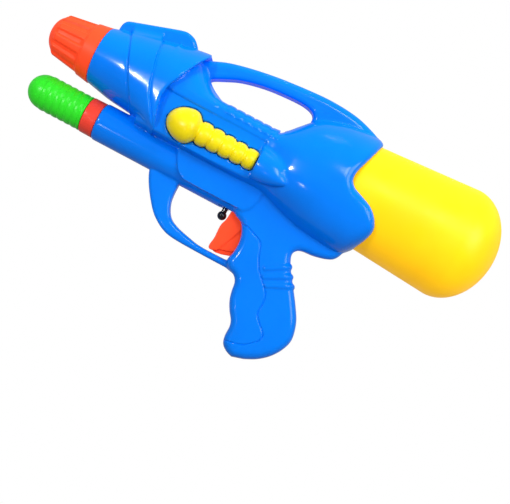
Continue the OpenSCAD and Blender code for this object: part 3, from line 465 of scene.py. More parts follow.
def upper(x, y, z, detail=True):
    """Waist and bulb, with finger ribs on the waist and the side channel."""
    square = np.where(z > BODY_HALVES_Z, curve(BODY_SQUARE, x), curve(BODY_SQUARE_LOW, x))
    skin = loft(y, z, curve(BODY_SIDE, x), curve(BODY_TOP, x), curve(BODY_BOTTOM, x), curve(BODY_SHOULDER, x),
                curve(BODY_HIP, x), square)
    skin = both(skin, BODY_FRONT_X - x, 1.0)
    if not detail:
        return skin
    spot = seen(x, y, z)
    above = z - CHANNEL_TOP_Z
    nearest = RIB_X + RIB_PITCH * np.clip(np.round((spot[0] - RIB_X) / RIB_PITCH), 0, RIBS - 1)
    rib = np.clip(1 - ((spot[0] - nearest) / RIB_HALF) ** 4, 0, 1)
    skin = skin - RIB_H * rib * ramp(above - 0.3, 1.4)
    notch = np.exp(-(segment(*spot, *RIB_END) / NOTCH_W) ** 2)
    skin = skin + notch * (NOTCH_LOW_H + NOTCH_TOP_H * ramp(above - 4, 6.0))
    channel = both(FLAT["channel"](*spot), CHANNEL_FLOOR_Y - y, 0.8)
    skin = cut(skin, channel, 1.4)
    pocket = np.maximum(FLAT["pocket"](*spot), CHANNEL_Y - POCKET_H - y)
    return cut(skin, pocket, 0.6)


def block(x, y, z):
    """Hump on top of the front housing."""
    return slab(FLAT["block"](*seen(x, y, z)), y, HUMP_W, HUMP_ROUND)


def neck(x, y, z):
    """Shoulder that runs from under the front housing down to the waist."""
    bottom = -20.0
    shoulder = 2.0
    hip = -12.0
    square = 2.3
    back_x = 133
    skin = loft(y, z, curve(NECK_SIDE, x), curve(NECK_TOP, x), bottom, shoulder, hip, square)
    skin = both(both(skin, CHANNEL_FRONT_X - x, 0.5), x - back_x, 1.0)
    return both(skin, CHANNEL_TOP_Z - 1.5 - z, 1.0)


def blister(x, y, z):
    """Half-capsule behind the trim."""
    sx, sz = seen(x, y, z)
    behind = sx - CHANNEL_BACK_X + 4
    lean = 0.3
    front_x = TRIM_X + 73.4
    rx = 30.0 - 5.0 * ramp(sz - TRIM_Z + 6, 8.0)
    ry = 10.4
    rz = 12.4
    px = behind / rx * np.where(behind > 0, 1.0, 0.5)
    py = (y - CHANNEL_Y - lean * np.maximum(behind, 0)) / ry
    pz = (sz - TRIM_Z) / rz
    reach = np.maximum(np.sqrt(px ** 2 + py ** 2 + pz ** 2), 1e-6)
    slope = np.sqrt((px / rx) ** 2 + (py / ry) ** 2 + (pz / rz) ** 2) / reach
    return both((reach - 1) / np.maximum(slope, 0.02), front_x - sx, 1.2)


def tube(x, y, z):
    """Sleeve of the pump under the barrel."""
    skin = np.hypot(y, z - PUMP_Z) - TUBE_R
    return both(both(skin, TUBE_RIM_X - x, 2.2), x - TUBE_BACK_X, 4.0)


GRIP_RIBS = (((218.6, -80.6), (236, -70.2)), ((221, -86.4), (240, -76.4)), ((224.6, -91.6), (244, -82.4)))


def grip(x, y, z, detail=True):
    """Pistol grip with a groove round its front panel and three ribs at its back."""
    sx, sz = seen(x, y, z)
    skin = slab(FLAT["grip"](sx, sz), y, GRIP_W, GRIP_ROUND)
    if not detail:
        return skin
    line = FLAT["panel"](sx, sz)
    skin = skin + GROOVE_H * np.exp(-(line / GROOVE_W) ** 2) * ramp(y - GROOVE_FRONT_Y, 3.0)
    for a, b in GRIP_RIBS:
        skin = skin - GRIP_RIB_H * np.clip(1 - (segment(sx, sz, a, b) / GRIP_RIB_HALF) ** 2, 0, 1)
    return skin


def form(x, y, z):
    """Outer form of the whole housing."""
    spot = seen(x, y, z)
    strap = slab(FLAT["strap"](*spot), y, STRAP_W, STRAP_ROUND)
    body = join(upper(x, y, z), strap, 1.0)
    body = join(body, neck(x, y, z), 3.0)
    body = join(body, blister(x, y, z), 0.6 + 2.4 * ramp(spot[1] - TRIM_Z + 2, 8.0))
    bridge = slab(FLAT["bridge"](x, z), y, BRIDGE_W, 1.0)
    under = join(tube(x, y, z), bridge, 4.0)
    under = join(under, slab(FLAT["guard"](*spot), y, GUARD_W, 2.6), 0.8)
    under = join(under, slab(FLAT["pad"](*spot), y, PAD_W, 1.0), 0.4)
    under = join(under, grip(x, y, z), 2.5)
    whole = join(body, under, 0.5)
    banded = ramp(1.0 - FLAT["band"](*spot), 3.0)
    front = join(shroud(x, y, z), block(x, y, z), 0.8 + 6.0 * banded)
    return join(whole, front, 0.9)


def tank_radius(x):
    """Radius of the bottle's tapered side."""
    return TANK_R - (TANK_DOME_X - x) * math.tan(TANK_TAPER)


def cavity(x, y, z):
    """Hollow of the housing, with the seats of the tank, pump and barrel."""
    hollow = np.minimum(upper(x, y, z, False), shroud(x, y, z, False))
    hollow = np.minimum(hollow, np.minimum(tube(x, y, z), grip(x, y, z, False))) + WALL
    hollow = np.maximum(hollow, x - HOLLOW_BACK_X)
    beside_trim = (x > CHANNEL_FRONT_X) & (x < TUBE_BACK_X)
    hollow = np.maximum(hollow, np.where(beside_trim, y - CHANNEL_Y + WALL, -50))
    radius = np.hypot(y, z)
    tank = both(radius - tank_radius(x) - TANK_GAP, SHOULDER_X - 2 - x, 8.0)
    bore = both(np.hypot(y, z - PUMP_Z) - TUBE_BORE_R, x - TUBE_BORE_BACK_X, 0.5)
    barrel = np.maximum(radius - BARREL_BORE_R, x - BARREL_BORE_BACK_X)
    slot = slab(FLAT["slot"](x, z), y, BLADE_W + 0.3, 0.4)
    stem = np.maximum(np.hypot(x - STEM_X, y) - STEM_HOLE_R, np.abs(z - STEM_HOLE_Z) - STEM_HOLE_HALF_L)
    for seat in (tank, bore, barrel, slot, stem):
        hollow = np.minimum(hollow, seat)
    return hollow


def half_shell(x, y, z, wells=False):
    """Wall of one half of the housing, the same for both signs of y, with screw wells on request."""
    side = np.abs(y)
    skin = cut(form(x, side, z), FLAT["rear"](*seen(x, side, z)), 7.0)
    skin = cut(skin, cavity(x, side, z), 0.6)
    if wells:
        for sx, sz in SCREW_SPOTS:
            well = np.maximum(np.hypot(x - sx, z - sz) - SCREW_WELL_R, SCREW_SEAT_Y - side)
            skin = cut(skin, well, 0.8)
    return skin


# Meshing of signed distances

CORNERS = np.array([(i, j, k) for i in (0, 1) for j in (0, 1) for k in (0, 1)])
EDGES = [(a, b) for a in range(8) for b in range(a + 1, 8) if abs(CORNERS[a] - CORNERS[b]).sum() == 1]


def net(field, low, high, step):
    """Quads over the zero surface of a field: points, faces, and each point's cell."""
    axes = [np.arange(lo, hi + step * 0.5, step) for lo, hi in zip(low, high)]
    grid = np.broadcast_to(field(axes[0][:, None, None], axes[1][None, :, None], axes[2][None, None, :]),
                           [a.size for a in axes]).astype(np.float32)
    inside = grid < 0
    size = np.array(grid.shape) - 1

    def at(values, corner):
        i, j, k = corner
        return values[i:i + size[0], j:j + size[1], k:k + size[2]]

    count = sum(at(inside, c).astype(np.int8) for c in CORNERS)
    active = (count > 0) & (count < 8)
    index = np.full(active.shape, -1, np.int64)
    index[active] = np.arange(active.sum())
    cells = np.argwhere(active)
    values = np.stack([at(grid, c)[active] for c in CORNERS], 1)
    total = np.zeros((len(cells), 3))
    hits = np.zeros(len(cells))
    for a, b in EDGES:
        va = values[:, a]
        vb = values[:, b]
        crossing = (va < 0) != (vb < 0)
        t = np.where(crossing, va / np.where(crossing, va - vb, 1), 0)
        total += np.where(crossing[:, None], CORNERS[a] + t[:, None] * (CORNERS[b] - CORNERS[a]), 0)
        hits += crossing
    points = (cells + total / hits[:, None]) * step + np.array([a[0] for a in axes])
    faces = []
    for axis in range(3):
        one = (axis + 1) % 3
        two = (axis + 2) % 3
        first = np.moveaxis(inside, axis, 0)[:-1]
        second = np.moveaxis(inside, axis, 0)[1:]
        spots = np.argwhere(first != second)
        where = np.empty_like(spots)
        where[:, axis] = spots[:, 0]
        others = [k for k in range(3) if k != axis]
        where[:, others[0]] = spots[:, 1]
        where[:, others[1]] = spots[:, 2]
        keep = (where[:, one] > 0) & (where[:, one] < size[one])
        keep &= (where[:, two] > 0) & (where[:, two] < size[two])
        where = where[keep]
        outward = inside[tuple(where.T)]
        ring = []
        for back_one, back_two in ((1, 1), (0, 1), (0, 0), (1, 0)):
            cell = where.copy()
            cell[:, one] -= back_one
            cell[:, two] -= back_two
            ring.append(index[tuple(cell.T)])
        quad = np.stack(ring, 1)
        quad[~outward] = quad[~outward][:, ::-1]
        faces.append(quad)
    return points, np.concatenate(faces), cells


def settle(points, field, rounds=3, reach=0.6, free=(True, True, True), level=0.0):
    """Moves points onto the surface where the field equals level, along its slope."""
    small = 0.02
    p = points.copy()
    for _ in range(rounds):
        value = field(p[:, 0], p[:, 1], p[:, 2]) - level
        slope = np.zeros_like(p)
        for axis in range(3):
            if free[axis]:
                step = np.zeros(3)
                step[axis] = small
                ahead = p + step
                behind = p - step
                slope[:, axis] = (field(*ahead.T) - field(*behind.T)) / (2 * small)
        steep = np.maximum((slope ** 2).sum(1), 0.2)
        move = -slope * (value / steep)[:, None]
        length = np.linalg.norm(move, axis=1)
        p += move * np.minimum(1, reach / np.maximum(length, 1e-9))[:, None]
    return p


def shell_mesh(step, field):
    """Points and faces of the half where y is negative. Its inner face lies on the parting plane."""
    def clipped(x, y, z):
        return np.maximum(field(x, y, z), y)

    depth = math.ceil((BULB_W + 3) / step)
    low = (RIM_X - 3 * step, (0.5 - depth) * step, HOUSING_LOW_Z)
    high = (REAR_X + 1, 0.5 * step, HOUSING_HIGH_Z)
    points, faces, cells = net(clipped, low, high, step)
    middle = cells[:, 1] == cells[:, 1].max()
    points[~middle] = settle(points[~middle], field)
    flat = points[middle]
    flat[:, 1] = 0
    value = field(*flat.T)
    rim = np.abs(value) < 0.75 * step
    flat[rim] = settle(flat[rim], field, free=(True, False, True), level=-0.18)
    points[middle] = flat
    points[:, 1] = np.minimum(points[:, 1], 0)
    return points, faces


def split_lines(mesh, field):
    """Splits the faces along the fine lines of a housing half in nine and settles them on its form again."""
    reach = 2.2
    skin = 0.8
    inner_y = 3
    ribs_x = RIB_X + 18
    ribs_half = 24
    fine = bmesh.new()
    fine.from_mesh(mesh)

    def along():
        points = np.array([v.co for v in fine.verts]) / MM
        x, y, z = points.T
        y = np.abs(y)
        spot = seen(x, y, z)
        line = np.minimum(np.abs(FLAT["panel"](*spot)), np.abs(FLAT["band"](*spot) - 0.4))
        line = np.minimum(line, np.maximum(np.abs(shroud(x, y, z)), np.abs(block(x, y, z))))
        ribbed = (np.abs(x - ribs_x) < ribs_half) & (z > CHANNEL_TOP_Z) & (z < WAIST_TOP_Z + 3)
        return points, (ribbed | (line < reach)) & (y > inner_y) & (np.abs(form(x, y, z)) < skin)

    points, chosen = along()
    edges = [e for e in fine.edges if chosen[e.verts[0].index] and chosen[e.verts[1].index]]
    bmesh.ops.subdivide_edges(fine, edges=edges, cuts=2, use_grid_fill=True)
    points, chosen = along()
    points[chosen] = settle(points[chosen], field, reach=0.2)
    for v, place in zip(fine.verts, points):
        v.co = place * MM
    fine.to_mesh(mesh)
    fine.free()


# Materials

def principled(name, color, roughness, specular=0.3, variation=0.06, grain=900.0, bump=0.02):
    """Moulded plastic with faint cloudiness, an uneven polish and a fine grain."""
    material = bpy.data.materials.new(name)
    material.use_nodes = True
    nodes = material.node_tree.nodes
    links = material.node_tree.links
    shader = nodes["Principled BSDF"]
    place = nodes.new("ShaderNodeTexCoord")
    cloud = nodes.new("ShaderNodeTexNoise")
    cloud.inputs["Scale"].default_value = 26.0
    cloud.inputs["Detail"].default_value = 3.0
    links.new(place.outputs["Object"], cloud.inputs["Vector"])
    tint = nodes.new("ShaderNodeValToRGB")
    dark = [c * (1 - variation) for c in color]
    light = [min(1.0, c * (1 + variation)) for c in color]
    tint.color_ramp.elements[0].position = 0.3
    tint.color_ramp.elements[0].color = (*dark, 1)
    tint.color_ramp.elements[1].position = 0.7
    tint.color_ramp.elements[1].color = (*light, 1)
    links.new(cloud.outputs["Fac"], tint.inputs["Fac"])
    links.new(tint.outputs["Color"], shader.inputs["Base Color"])
    polish = nodes.new("ShaderNodeTexNoise")
    polish.inputs["Scale"].default_value = 70.0
    polish.inputs["Detail"].default_value = 4.0
    links.new(place.outputs["Object"], polish.inputs["Vector"])
    spread = nodes.new("ShaderNodeMapRange")
    spread.inputs["From Min"].default_value = 0.3
    spread.inputs["From Max"].default_value = 0.7
    spread.inputs["To Min"].default_value = roughness * 0.8
    spread.inputs["To Max"].default_value = roughness * 1.25
    links.new(polish.outputs["Fac"], spread.inputs["Value"])
    links.new(spread.outputs["Result"], shader.inputs["Roughness"])
    skin = nodes.new("ShaderNodeTexNoise")
    skin.inputs["Scale"].default_value = grain
    skin.inputs["Detail"].default_value = 2.0
    links.new(place.outputs["Object"], skin.inputs["Vector"])
    rough = nodes.new("ShaderNodeBump")
    rough.inputs["Strength"].default_value = bump
    rough.inputs["Distance"].default_value = 0.0004
    links.new(skin.outputs["Fac"], rough.inputs["Height"])
    links.new(rough.outputs["Normal"], shader.inputs["Normal"])
    shader.inputs["Specular IOR Level"].default_value = specular
    return material


def metal(name, color, roughness):
    """Plated steel with a fine grain."""
    material = principled(name, color, roughness, variation=0.04, grain=1500.0, bump=0.04)
    material.node_tree.nodes["Principled BSDF"].inputs["Metallic"].default_value = 1.0
    return material


def self_lit(material, color):
    """Paints light into a material: it gives off light of its own, in a colour in linear light, so its shaded
    sides stay bright.
    """
    shader = material.node_tree.nodes["Principled BSDF"]
    shader.inputs["Emission Color"].default_value = (*color, 1)
    shader.inputs["Emission Strength"].default_value = 1.0


def linear(red, green, blue):
    """Colour in linear light from its 0 to 255 screen values."""
    share = [v / 255 for v in (red, green, blue)]
    return [s / 12.92 if s <= 0.04045 else ((s + 0.055) / 1.055) ** 2.4 for s in share]


# Painted light: glow of the orange and bottle plastics that keeps their shaded sides bright
ORANGE_GLOW = (0.25, 0.004, 0.0)
BOTTLE_GLOW = (0.46, 0.21, 0.0)

BLUE = principled("blue_plastic", linear(0, 126, 248), 0.13, specular=0.25)
ORANGE = principled("orange_plastic", linear(252, 80, 40), 0.4, specular=0.2)
self_lit(ORANGE, ORANGE_GLOW)
YELLOW = principled("yellow_plastic", linear(253, 226, 12), 0.3, specular=0.3)
BOTTLE = principled("bottle_plastic", linear(255, 202, 16), 0.38, specular=0.25, bump=0.03)
self_lit(BOTTLE, BOTTLE_GLOW)
RED = principled("red_plastic", linear(250, 70, 52), 0.26, specular=0.3)
GREEN = principled("green_plastic", linear(50, 232, 40), 0.3, specular=0.3)
WHITE = principled("white_plastic", linear(228, 228, 222), 0.4)
BLACK = principled("black_plastic", linear(20, 20, 22), 0.2, specular=0.5, variation=0.2)
RUBBER = principled("black_rubber", linear(30, 30, 30), 0.7, variation=0.2)
HOSE = principled("hose_plastic", linear(205, 216, 220), 0.35)
STEEL = metal("plated_steel", linear(196, 198, 202), 0.3)

SLOT_MATERIAL = {"blue_plastic": BLUE, "orange_plastic": ORANGE, "yellow_plastic": YELLOW,
                 "red_plastic": RED, "green_plastic": GREEN, "white_plastic": WHITE, "black_plastic": BLACK,
                 "black_rubber": RUBBER, "hose": HOSE, "steel": STEEL}


# Pieces

def add_piece(name, points, faces, material, body, node, crease=38, lined=None):
    """Mesh piece, given in millimetres, that stands for a node and rides on its body."""
    mesh = bpy.data.meshes.new(name)
    mesh.from_pydata((np.asarray(points) * MM).tolist(), [], [list(map(int, f)) for f in faces])
    mesh.validate()
    if lined:
        split_lines(mesh, lined)
    mesh.polygons.foreach_set("use_smooth", [True] * len(mesh.polygons))
    mesh.set_sharp_from_angle(angle=math.radians(crease))
    mesh.materials.append(material)
    piece = bpy.data.objects.new(name, mesh)
    bpy.context.scene.collection.objects.link(piece)
    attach(piece, body)
    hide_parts(node)
    return piece


def rounded(profile, steps=5):
    """Profile of x, r rows with its corners rounded. A row may give a corner radius as its third value."""
    line = []
    for i, row in enumerate(profile):
        q = np.array(row[:2], float)
        radius = row[2] if len(row) > 2 else 0
        if not radius:
            line.append(tuple(q))
            continue
        a = np.array(profile[i - 1][:2], float) - q
        b = np.array(profile[i + 1][:2], float) - q
        start = q + a / np.linalg.norm(a) * min(radius, 0.49 * np.linalg.norm(a))
        end = q + b / np.linalg.norm(b) * min(radius, 0.49 * np.linalg.norm(b))
        for s in np.linspace(0, 1, steps):
            line.append(tuple(start * (1 - s) ** 2 + 2 * q * s * (1 - s) + end * s * s))
    return line


def sweep(profile, sides, z=0.0, shape=None):
    """Turned solid about an axis along X at height z, from x, r rows that close or that end on the axis."""
    rows = np.array(profile, float)
    angle = np.arange(sides) * 2 * math.pi / sides
    points = []
    rings = []
    for x, r in rows:
        if r < 1e-6:
            rings.append([len(points)] * sides)
            points.append((x, 0, z))
            continue
        ring = shape(x, r, angle) if shape else np.full(sides, r)
        rings.append(list(range(len(points), len(points) + sides)))
        points.extend(zip(np.full(sides, x), ring * np.sin(angle), z + ring * np.cos(angle)))
    closed = rows[0, 1] > 1e-6 and rows[-1, 1] > 1e-6
    faces = []
    for k in range(len(rows) if closed else len(rows) - 1):
        a = rings[k]
        b = rings[(k + 1) % len(rows)]
        for s in range(sides):
            t = (s + 1) % sides
            face = [a[s], b[s], b[t], a[t]]
            faces.append([v for i, v in enumerate(face) if v not in face[:i]])
    return points, faces


def housing():
    """Both halves of the moulded housing."""
    step = 1.0
    for side, name in ((-1, "left"), (1, "right")):
        def field(x, y, z, wells=side > 0):
            return half_shell(x, y, z, wells)

        points, faces = shell_mesh(step, field)
        if side > 0:
            points[:, 1] *= -1
            faces = faces[:, ::-1]
        add_piece(name + "_housing", points, faces, BLUE, "housing", name + "_shell",
                  lined=field)


def screw_field(x, y, z):
    """Screw on its seat at the origin, head up along y, with a cross recess."""
    radius = np.hypot(x, z)
    head = both(radius - SCREW_HEAD_R, np.abs(y - SCREW_HEAD_T / 2) - SCREW_HEAD_T / 2, 0.9)
    shaft = both(radius - SCREW_R, np.abs(y + SCREW_L / 2 - 0.5) - SCREW_L / 2 - 0.5, 0.3)
    across = np.maximum(np.abs(x) - SCREW_RECESS_W, np.abs(z) - SCREW_RECESS_R)
    along = np.maximum(np.abs(z) - SCREW_RECESS_W, np.abs(x) - SCREW_RECESS_R)
    recess = np.maximum(np.minimum(across, along), SCREW_HEAD_T / 2 - y)
    return cut(np.minimum(head, shaft), recess, 0.2)


def screws():
    """Cross-recess screws in the wells of the right half."""
    margin = 0.4
    room = SCREW_HEAD_R + margin
    low = (-room, -SCREW_L - margin, -room)
    high = (room, SCREW_HEAD_T + margin, room)
    step = 0.3
    one, quads, _ = net(screw_field, low, high, step)
    one = settle(one, screw_field, reach=0.15)
    points = np.concatenate([one + (x, SCREW_SEAT_Y, z) for x, z in SCREW_SPOTS])
    faces = np.concatenate([quads + k * len(one) for k in range(len(SCREW_SPOTS))])
    add_piece("cross_head_screws", points, faces, STEEL, "housing", "shell_screws")


def nozzle():
    """Fluted nozzle cap."""
    cone_x = 7.8
    step_x = NOZZLE_L - 10
    floor_x = 6
    sleeve_x = 16
    front = NOZZLE_FRONT_R
    flute_start_x = 4.4
    flute_end_x = step_x - 1.2
    sides = 320

    def fluted(x, r, angle):
        wave = np.clip((np.cos((angle + math.pi / 2) * FLUTES) + 0.35) / 1.05, 0, 1)
        groove = wave * wave * (3 - 2 * wave)
        fade = min(1, max(0, (x - flute_start_x) / 2.6)) * min(1, max(0, (flute_end_x - x) / 2.2)) ** 0.5
        return r - FLUTE_H * groove * fade if r > front * 0.7 else np.full(angle.shape, r)

    dome = [(x, front * share) for x, share in (
        (0.4, 0.42), (1.1, 0.53), (2.1, 0.64), (3.4, 0.74),
        (4.6, 0.81), (5.6, 0.88), (6.6, 0.96), (7.2, 0.99))]
    cone = [(cone_x + (step_x - 0.4 - cone_x) * s, front + (NOZZLE_BACK_R - front) * s)
            for s in np.linspace(0, 1, 26)]
    skirt = [(step_x, NOZZLE_BACK_R + 0.9, 0.5), (NOZZLE_L - 4, RIM_R - 0.7, 2.0),
             (NOZZLE_L, RIM_R - 0.02, 0.2), (NOZZLE_L, RIM_R - 2.4, 0.3)]
    inside = [(step_x, NOZZLE_BACK_R - 4), (sleeve_x, front - 3.4), (sleeve_x, CAP_SLEEVE_R),
              (NOZZLE_L, CAP_SLEEVE_R), (NOZZLE_L, CAP_BORE_R), (floor_x, CAP_BORE_R), (floor_x, JET_R)]
    profile = rounded([(0.05, JET_R), (0, JET_R + 0.3), (0, front * 0.3)] + dome + cone + skirt + inside)
    points, faces = sweep(profile, sides, 0, fluted)
    add_piece("fluted_nozzle", points, faces, ORANGE, "nozzle", "nozzle_cap")


def pump():
    """Ridged pump handle and the collar behind it."""
    sides = 96
    nose_l = HANDLE_R - 0.4
    nose = [(HANDLE_X + nose_l * (1 - math.cos(a)), (HANDLE_R - 0.5) * math.sin(a))
            for a in np.radians(np.arange(0, 91, 6))]
    ridge_h = 0.6
    pitch = (HANDLE_L - HANDLE_RIM_L - nose_l) / HANDLE_RIDGES
    ridges = []
    for k in range(HANDLE_RIDGES):
        for s in np.linspace(0, 1, 13)[:-1]:
            lift = abs(math.sin(math.pi * s)) ** 0.8
            ridges.append((HANDLE_X + nose_l + pitch * (k + s), HANDLE_R - ridge_h + ridge_h * lift))
    end = HANDLE_X + HANDLE_L
    rim_x = end - HANDLE_RIM_L
    rim_r = HANDLE_R - 0.05
    hollow_r = HANDLE_R - 2.6
    sleeve_r = ROD_R + 3
    bore_r = ROD_R + 0.05
    tail = [(rim_x, HANDLE_R - ridge_h), (rim_x + 0.6, rim_r, 0.4), (end, rim_r, 0.7), (end, hollow_r),
            (HANDLE_X + 20, hollow_r), (HANDLE_X + 12, ROD_R + 5), (HANDLE_X + 14, sleeve_r), (end, sleeve_r),
            (end, bore_r), (HANDLE_X + 16, bore_r), (HANDLE_X + 16, 0)]
    points, faces = sweep(rounded(nose + ridges + tail), sides, PUMP_Z)
    add_piece("ridged_handle", points, faces, GREEN, "pump", "pump_handle")
    guide_r = ROD_R + 0.06
    plug_r = 10.3
    plug_x = TUBE_RIM_X + 5
    seat_x = TUBE_RIM_X - 0.02
    collar = rounded([(COLLAR_X, guide_r), (COLLAR_X, COLLAR_R - 0.2, 1.0), (seat_x, COLLAR_R, 0.3),
                      (seat_x, plug_r), (plug_x, plug_r), (plug_x, guide_r)])
    points, faces = sweep(collar, sides, PUMP_Z)
    add_piece("end_collar", points, faces, RED, "housing", "pump_collar")


def bottle():
    """Water bottle at the rear, with an open neck."""
    sides = 144
    side_x = 256

    def outline(d):
        rise = tank_radius(SHOULDER_X + SHOULDER_L) - NECK_R
        neck = [(NECK_X, NECK_R - d), (SHOULDER_X, NECK_R - d)]
        shoulder = [(SHOULDER_X + d + SHOULDER_L * (1 - math.cos(a)), NECK_R - d + rise * math.sin(a))
                    for a in np.radians(np.arange(8, 91, 8))]
        side = [(x, tank_radius(x) - d) for x in np.arange(side_x, TANK_DOME_X, 9)]
        dome = [(TANK_DOME_X + (TANK_DOME_L - d) * math.sin(a), max(0, (TANK_R - d) * math.cos(a)))
                for a in np.radians(np.arange(0, 91, 3))]
        return neck + shoulder + side + dome

    points, faces = sweep(outline(0) + outline(TANK_WALL)[::-1], sides)
    faces = [f for f in faces if len(f) > 2]
    add_piece("water_bottle", points, faces, BOTTLE, "tank", "tank")


def trims():
    """Bullet-shaped trim in each side channel."""
    profile = trim_profile()
    steps = 49
    starts = [1 + k * steps for k in range(len(profile))]

    def place(x, y, z):
        s = nearing(y)
        return EYE_X + (x - EYE_X) / s, y, EYE_Z + (z - EYE_Z) / s

    points = [place(TRIM_X, CHANNEL_Y, TRIM_Z)]
    for x, r in profile:
        for a in np.linspace(0, math.pi, steps):
            points.append(place(x, CHANNEL_Y + r * math.sin(a), TRIM_Z + r * math.cos(a)))
    faces = [[0, 1 + j + 1, 1 + j] for j in range(steps - 1)]
    for start in starts[:-1]:
        for a in range(start, start + steps - 1):
            b = a + steps
            faces.append([a, a + 1, b + 1, b])
    faces.append(list(range(starts[-1], starts[-1] + steps)))
    faces.append(starts + [start + steps - 1 for start in reversed(starts)] + [0])
    flipped = [[f[0]] + f[:0:-1] for f in faces]
    left = np.array(points) * (1, -1, 1)
    add_piece("left_bullet_trim", left, flipped, YELLOW, "housing", "left_trim")
    add_piece("right_bullet_trim", points, faces, YELLOW, "housing", "right_trim")


def trigger_field(x, y, z):
    """Trigger with its hub and fork, a fold across the blade and a thin web below."""
    side = np.abs(y)
    behind = (x - FOLD[0]) * FOLD_NORMAL[0] + (z - FOLD[1]) * FOLD_NORMAL[1]
    blade = slab(FLAT["blade"](x, z), side, BLADE_W, 1.2) + FOLD_H * ramp(behind + 0.8, 1.6)
    blade = np.minimum(blade, slab(FLAT["web"](x, z), side, BLADE_W - 3, 0.5))
    arm = slab(FLAT["arm"](x, z), side, HUB_W, 0.6)
    pivot = np.hypot(x - PIVOT[0], z - PIVOT[1])
    hub = both(pivot - HUB_R, side - HUB_W, 0.5)
    nose = both(np.hypot(x - STEM_X, z - PIVOT[1] + 4.2) - NOSE_R, side - HUB_W, 0.5)
    skin = join(join(blade, arm, 1.2), join(hub, nose, 0.3), 0.8)
    skin = cut(skin, pivot - PIN_R - 0.05, 0.3)
    fork = np.maximum(np.abs(x - STEM_X) - 4, side - FORK_W)
    return cut(skin, fork, 0.3)


def trigger():
    """Trigger as one moulding."""
    low = (168, -7, -89)
    high = (198, 7, -41)
    step = 0.55
    points, faces, _ = net(trigger_field, low, high, step)
    points = settle(points, trigger_field, reach=0.3)
    add_piece("moulded_trigger", points, faces, ORANGE, "trigger", "trigger")


def spring():
    """Coil under the head of the valve stem."""
    low = np.array(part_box("valve_spring")[0]) / MM
    high = np.array(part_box("valve_spring")[1]) / MM
    middle = (low + high) / 2
    radius = (high[0] - low[0]) / 2 - SPRING_WIRE
    sides = 8
    rings = SPRING_TURNS * 24 + 1
    turn = np.linspace(0, 2 * math.pi * SPRING_TURNS, rings)[:, None]
    round_wire = np.arange(sides) * 2 * math.pi / sides
    reach = radius + SPRING_WIRE * np.cos(round_wire)
    rise = np.linspace(low[2], high[2], rings)[:, None]
    inset = SPRING_WIRE * (1 - 2 * np.linspace(0, 1, rings)[:, None])
    points = np.stack([middle[0] + reach * np.cos(turn), middle[1] + reach * np.sin(turn),
                       rise + inset + SPRING_WIRE * np.sin(round_wire)], 2)
    faces = [list(range(sides))[::-1], [(rings - 1) * sides + k for k in range(sides)]]
    for start in range(0, (rings - 1) * sides, sides):
        for k in range(sides):
            a = start + k
            b = start + (k + 1) % sides
            faces.append([a, b, b + sides, a + sides])
    piece = add_piece("coil_spring", points.reshape(-1, 3), faces, STEEL, "housing", "valve_spring")
    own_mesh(piece)


def dress_nodes():
    """Materials of the nodes that stay."""
    slots = {row["node"]: row["material_slot"] for row in frame["record"]["subparts"]}
    for name, node in frame["nodes"].items():
        node.data.materials.clear()
        node.data.materials.append(SLOT_MATERIAL[slots[name]])


# Camera, light and surroundings

ROLL = math.radians(28)
DISTANCE = EYE_D * MM
TARGET = Vector((EYE_X, 0.0, EYE_Z)) * MM
PIXELS_PER_M = 1366.0
PHOTO_W = 510
FLOOR_HALF = 3.0
FLOOR_DROP = 0.25
ROOM_FRONT_Y = -0.3
ROOM_BACK_Y = 0.4
ROOM_FRONT_GLOW = 0.2
ROOM_BACK_GLOW = 0.4


def camera():
    """Camera at the eye of the picture, rolled so that the barrel slants as it does there."""
    right = Vector((1, 0, 0))
    ahead = Vector((0, 1, 0))
    above = Vector((0, 0, 1))
    across = math.cos(ROLL) * right + math.sin(ROLL) * above
    upward = math.cos(ROLL) * above - math.sin(ROLL) * right
    data = bpy.data.cameras.new("camera")
    data.sensor_fit = "HORIZONTAL"
    data.lens = data.sensor_width * DISTANCE * PIXELS_PER_M / PHOTO_W
    eye = bpy.data.objects.new("camera", data)
    place = TARGET - ahead * DISTANCE
    eye.matrix_world = Matrix((
        (across.x, upward.x, -ahead.x, place.x),
        (across.y, upward.y, -ahead.y, place.y),
        (across.z, upward.z, -ahead.z, place.z),
        (0, 0, 0, 1)))
    bpy.context.scene.collection.objects.link(eye)
    bpy.context.scene.camera = eye


# Lamps: name, place from the target in metres, size, power in watts, and whether gloss shows it
LAMPS = (("key", (-0.83, -1.12, 0.09), 0.085, 6, True), ("front", (0.15, -1.3, 0.75), 0.4, 4, True),
         ("top", (-0.24, -0.15, 1.16), 0.3, 7, False), ("strip", (-0.24, -0.15, 1.16), 0.12, 0.5, True),
         ("low", (-0.335, -0.83, -0.28), 0.06, 0.25, True), ("rear", (0.8, -0.9, 0.5), 0.8, 8, True),
         ("back", (0.1, 1.3, 0.6), 0.8, 10, False))


def lamp(name, offset, size, power, shine):
    """Round lamp that faces the target."""
    place = TARGET + Vector(offset)
    data = bpy.data.lights.new(name, "AREA")
    data.shape = "DISK"
    data.size = size
    data.energy = power
    light = bpy.data.objects.new(name, data)
    light.location = place
    light.rotation_euler = (TARGET - place).to_track_quat("-Z", "Y").to_euler()
    light.visible_glossy = shine
    bpy.context.scene.collection.objects.link(light)


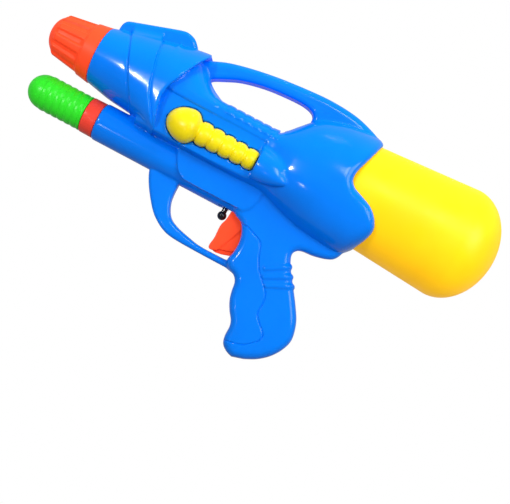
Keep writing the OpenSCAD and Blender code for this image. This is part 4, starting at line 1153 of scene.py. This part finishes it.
def white_to_eye(nodes, links, surface, out, where):
    """Mixes a surface with plain white where the camera, a reflection or a refraction looks at it.

    Reflections see it dimmer, and more so in front of the object than behind it."""
    path = nodes.new("ShaderNodeLightPath")
    glow = nodes.new("ShaderNodeEmission" if out.type == "OUTPUT_MATERIAL" else "ShaderNodeBackground")
    glow.inputs["Color"].default_value = (1, 1, 1, 1)
    place = nodes.new("ShaderNodeTexCoord")
    split = nodes.new("ShaderNodeSeparateXYZ")
    links.new(place.outputs[where], split.inputs[0])
    room = nodes.new("ShaderNodeMapRange")
    room.inputs["From Min"].default_value = ROOM_FRONT_Y
    room.inputs["From Max"].default_value = ROOM_BACK_Y
    room.inputs["To Min"].default_value = ROOM_FRONT_GLOW
    room.inputs["To Max"].default_value = ROOM_BACK_GLOW
    links.new(split.outputs["Y"], room.inputs["Value"])

    def larger(a, b):
        either = nodes.new("ShaderNodeMath")
        either.operation = "MAXIMUM"
        links.new(a, either.inputs[0])
        links.new(b, either.inputs[1])
        return either.outputs[0]

    direct = larger(path.outputs["Is Camera Ray"], path.outputs["Is Transmission Ray"])
    links.new(larger(direct, room.outputs["Result"]), glow.inputs["Strength"])
    mix = nodes.new("ShaderNodeMixShader")
    links.new(larger(direct, path.outputs["Is Glossy Ray"]), mix.inputs["Fac"])
    links.new(surface, mix.inputs[1])
    links.new(glow.outputs[0], mix.inputs[2])
    links.new(mix.outputs[0], out.inputs["Surface"])


def surroundings():
    """World, floor and lamps of a plain pale studio."""
    scene = bpy.context.scene
    scene.view_settings.view_transform = "Standard"
    world = bpy.data.worlds.new("studio")
    scene.world = world
    world.use_nodes = True
    nodes = world.node_tree.nodes
    soft = nodes["Background"]
    soft.inputs["Color"].default_value = (0.92, 0.96, 1.0, 1)
    soft.inputs["Strength"].default_value = 0.5
    white_to_eye(nodes, world.node_tree.links, soft.outputs[0], nodes["World Output"], "Generated")
    half = FLOOR_HALF
    level = cad_box[0][2] - FLOOR_DROP
    corners = [(-half, -half, level), (half, -half, level), (half, half, level), (-half, half, level)]
    mesh = bpy.data.meshes.new("floor")
    mesh.from_pydata(corners, [], [(0, 1, 2, 3)])
    floor = bpy.data.objects.new("floor", mesh)
    scene.collection.objects.link(floor)
    pale = principled("pale_floor", (0.2, 0.2, 0.2), 0.7, variation=0.01)
    nodes = pale.node_tree.nodes
    white_to_eye(nodes, pale.node_tree.links, nodes["Principled BSDF"].outputs[0], nodes["Material Output"],
                 "Object")
    floor.data.materials.append(pale)
    for row in LAMPS:
        lamp(*row)


housing()
screws()
nozzle()
pump()
bottle()
trims()
trigger()
spring()
dress_nodes()
camera()
surroundings()
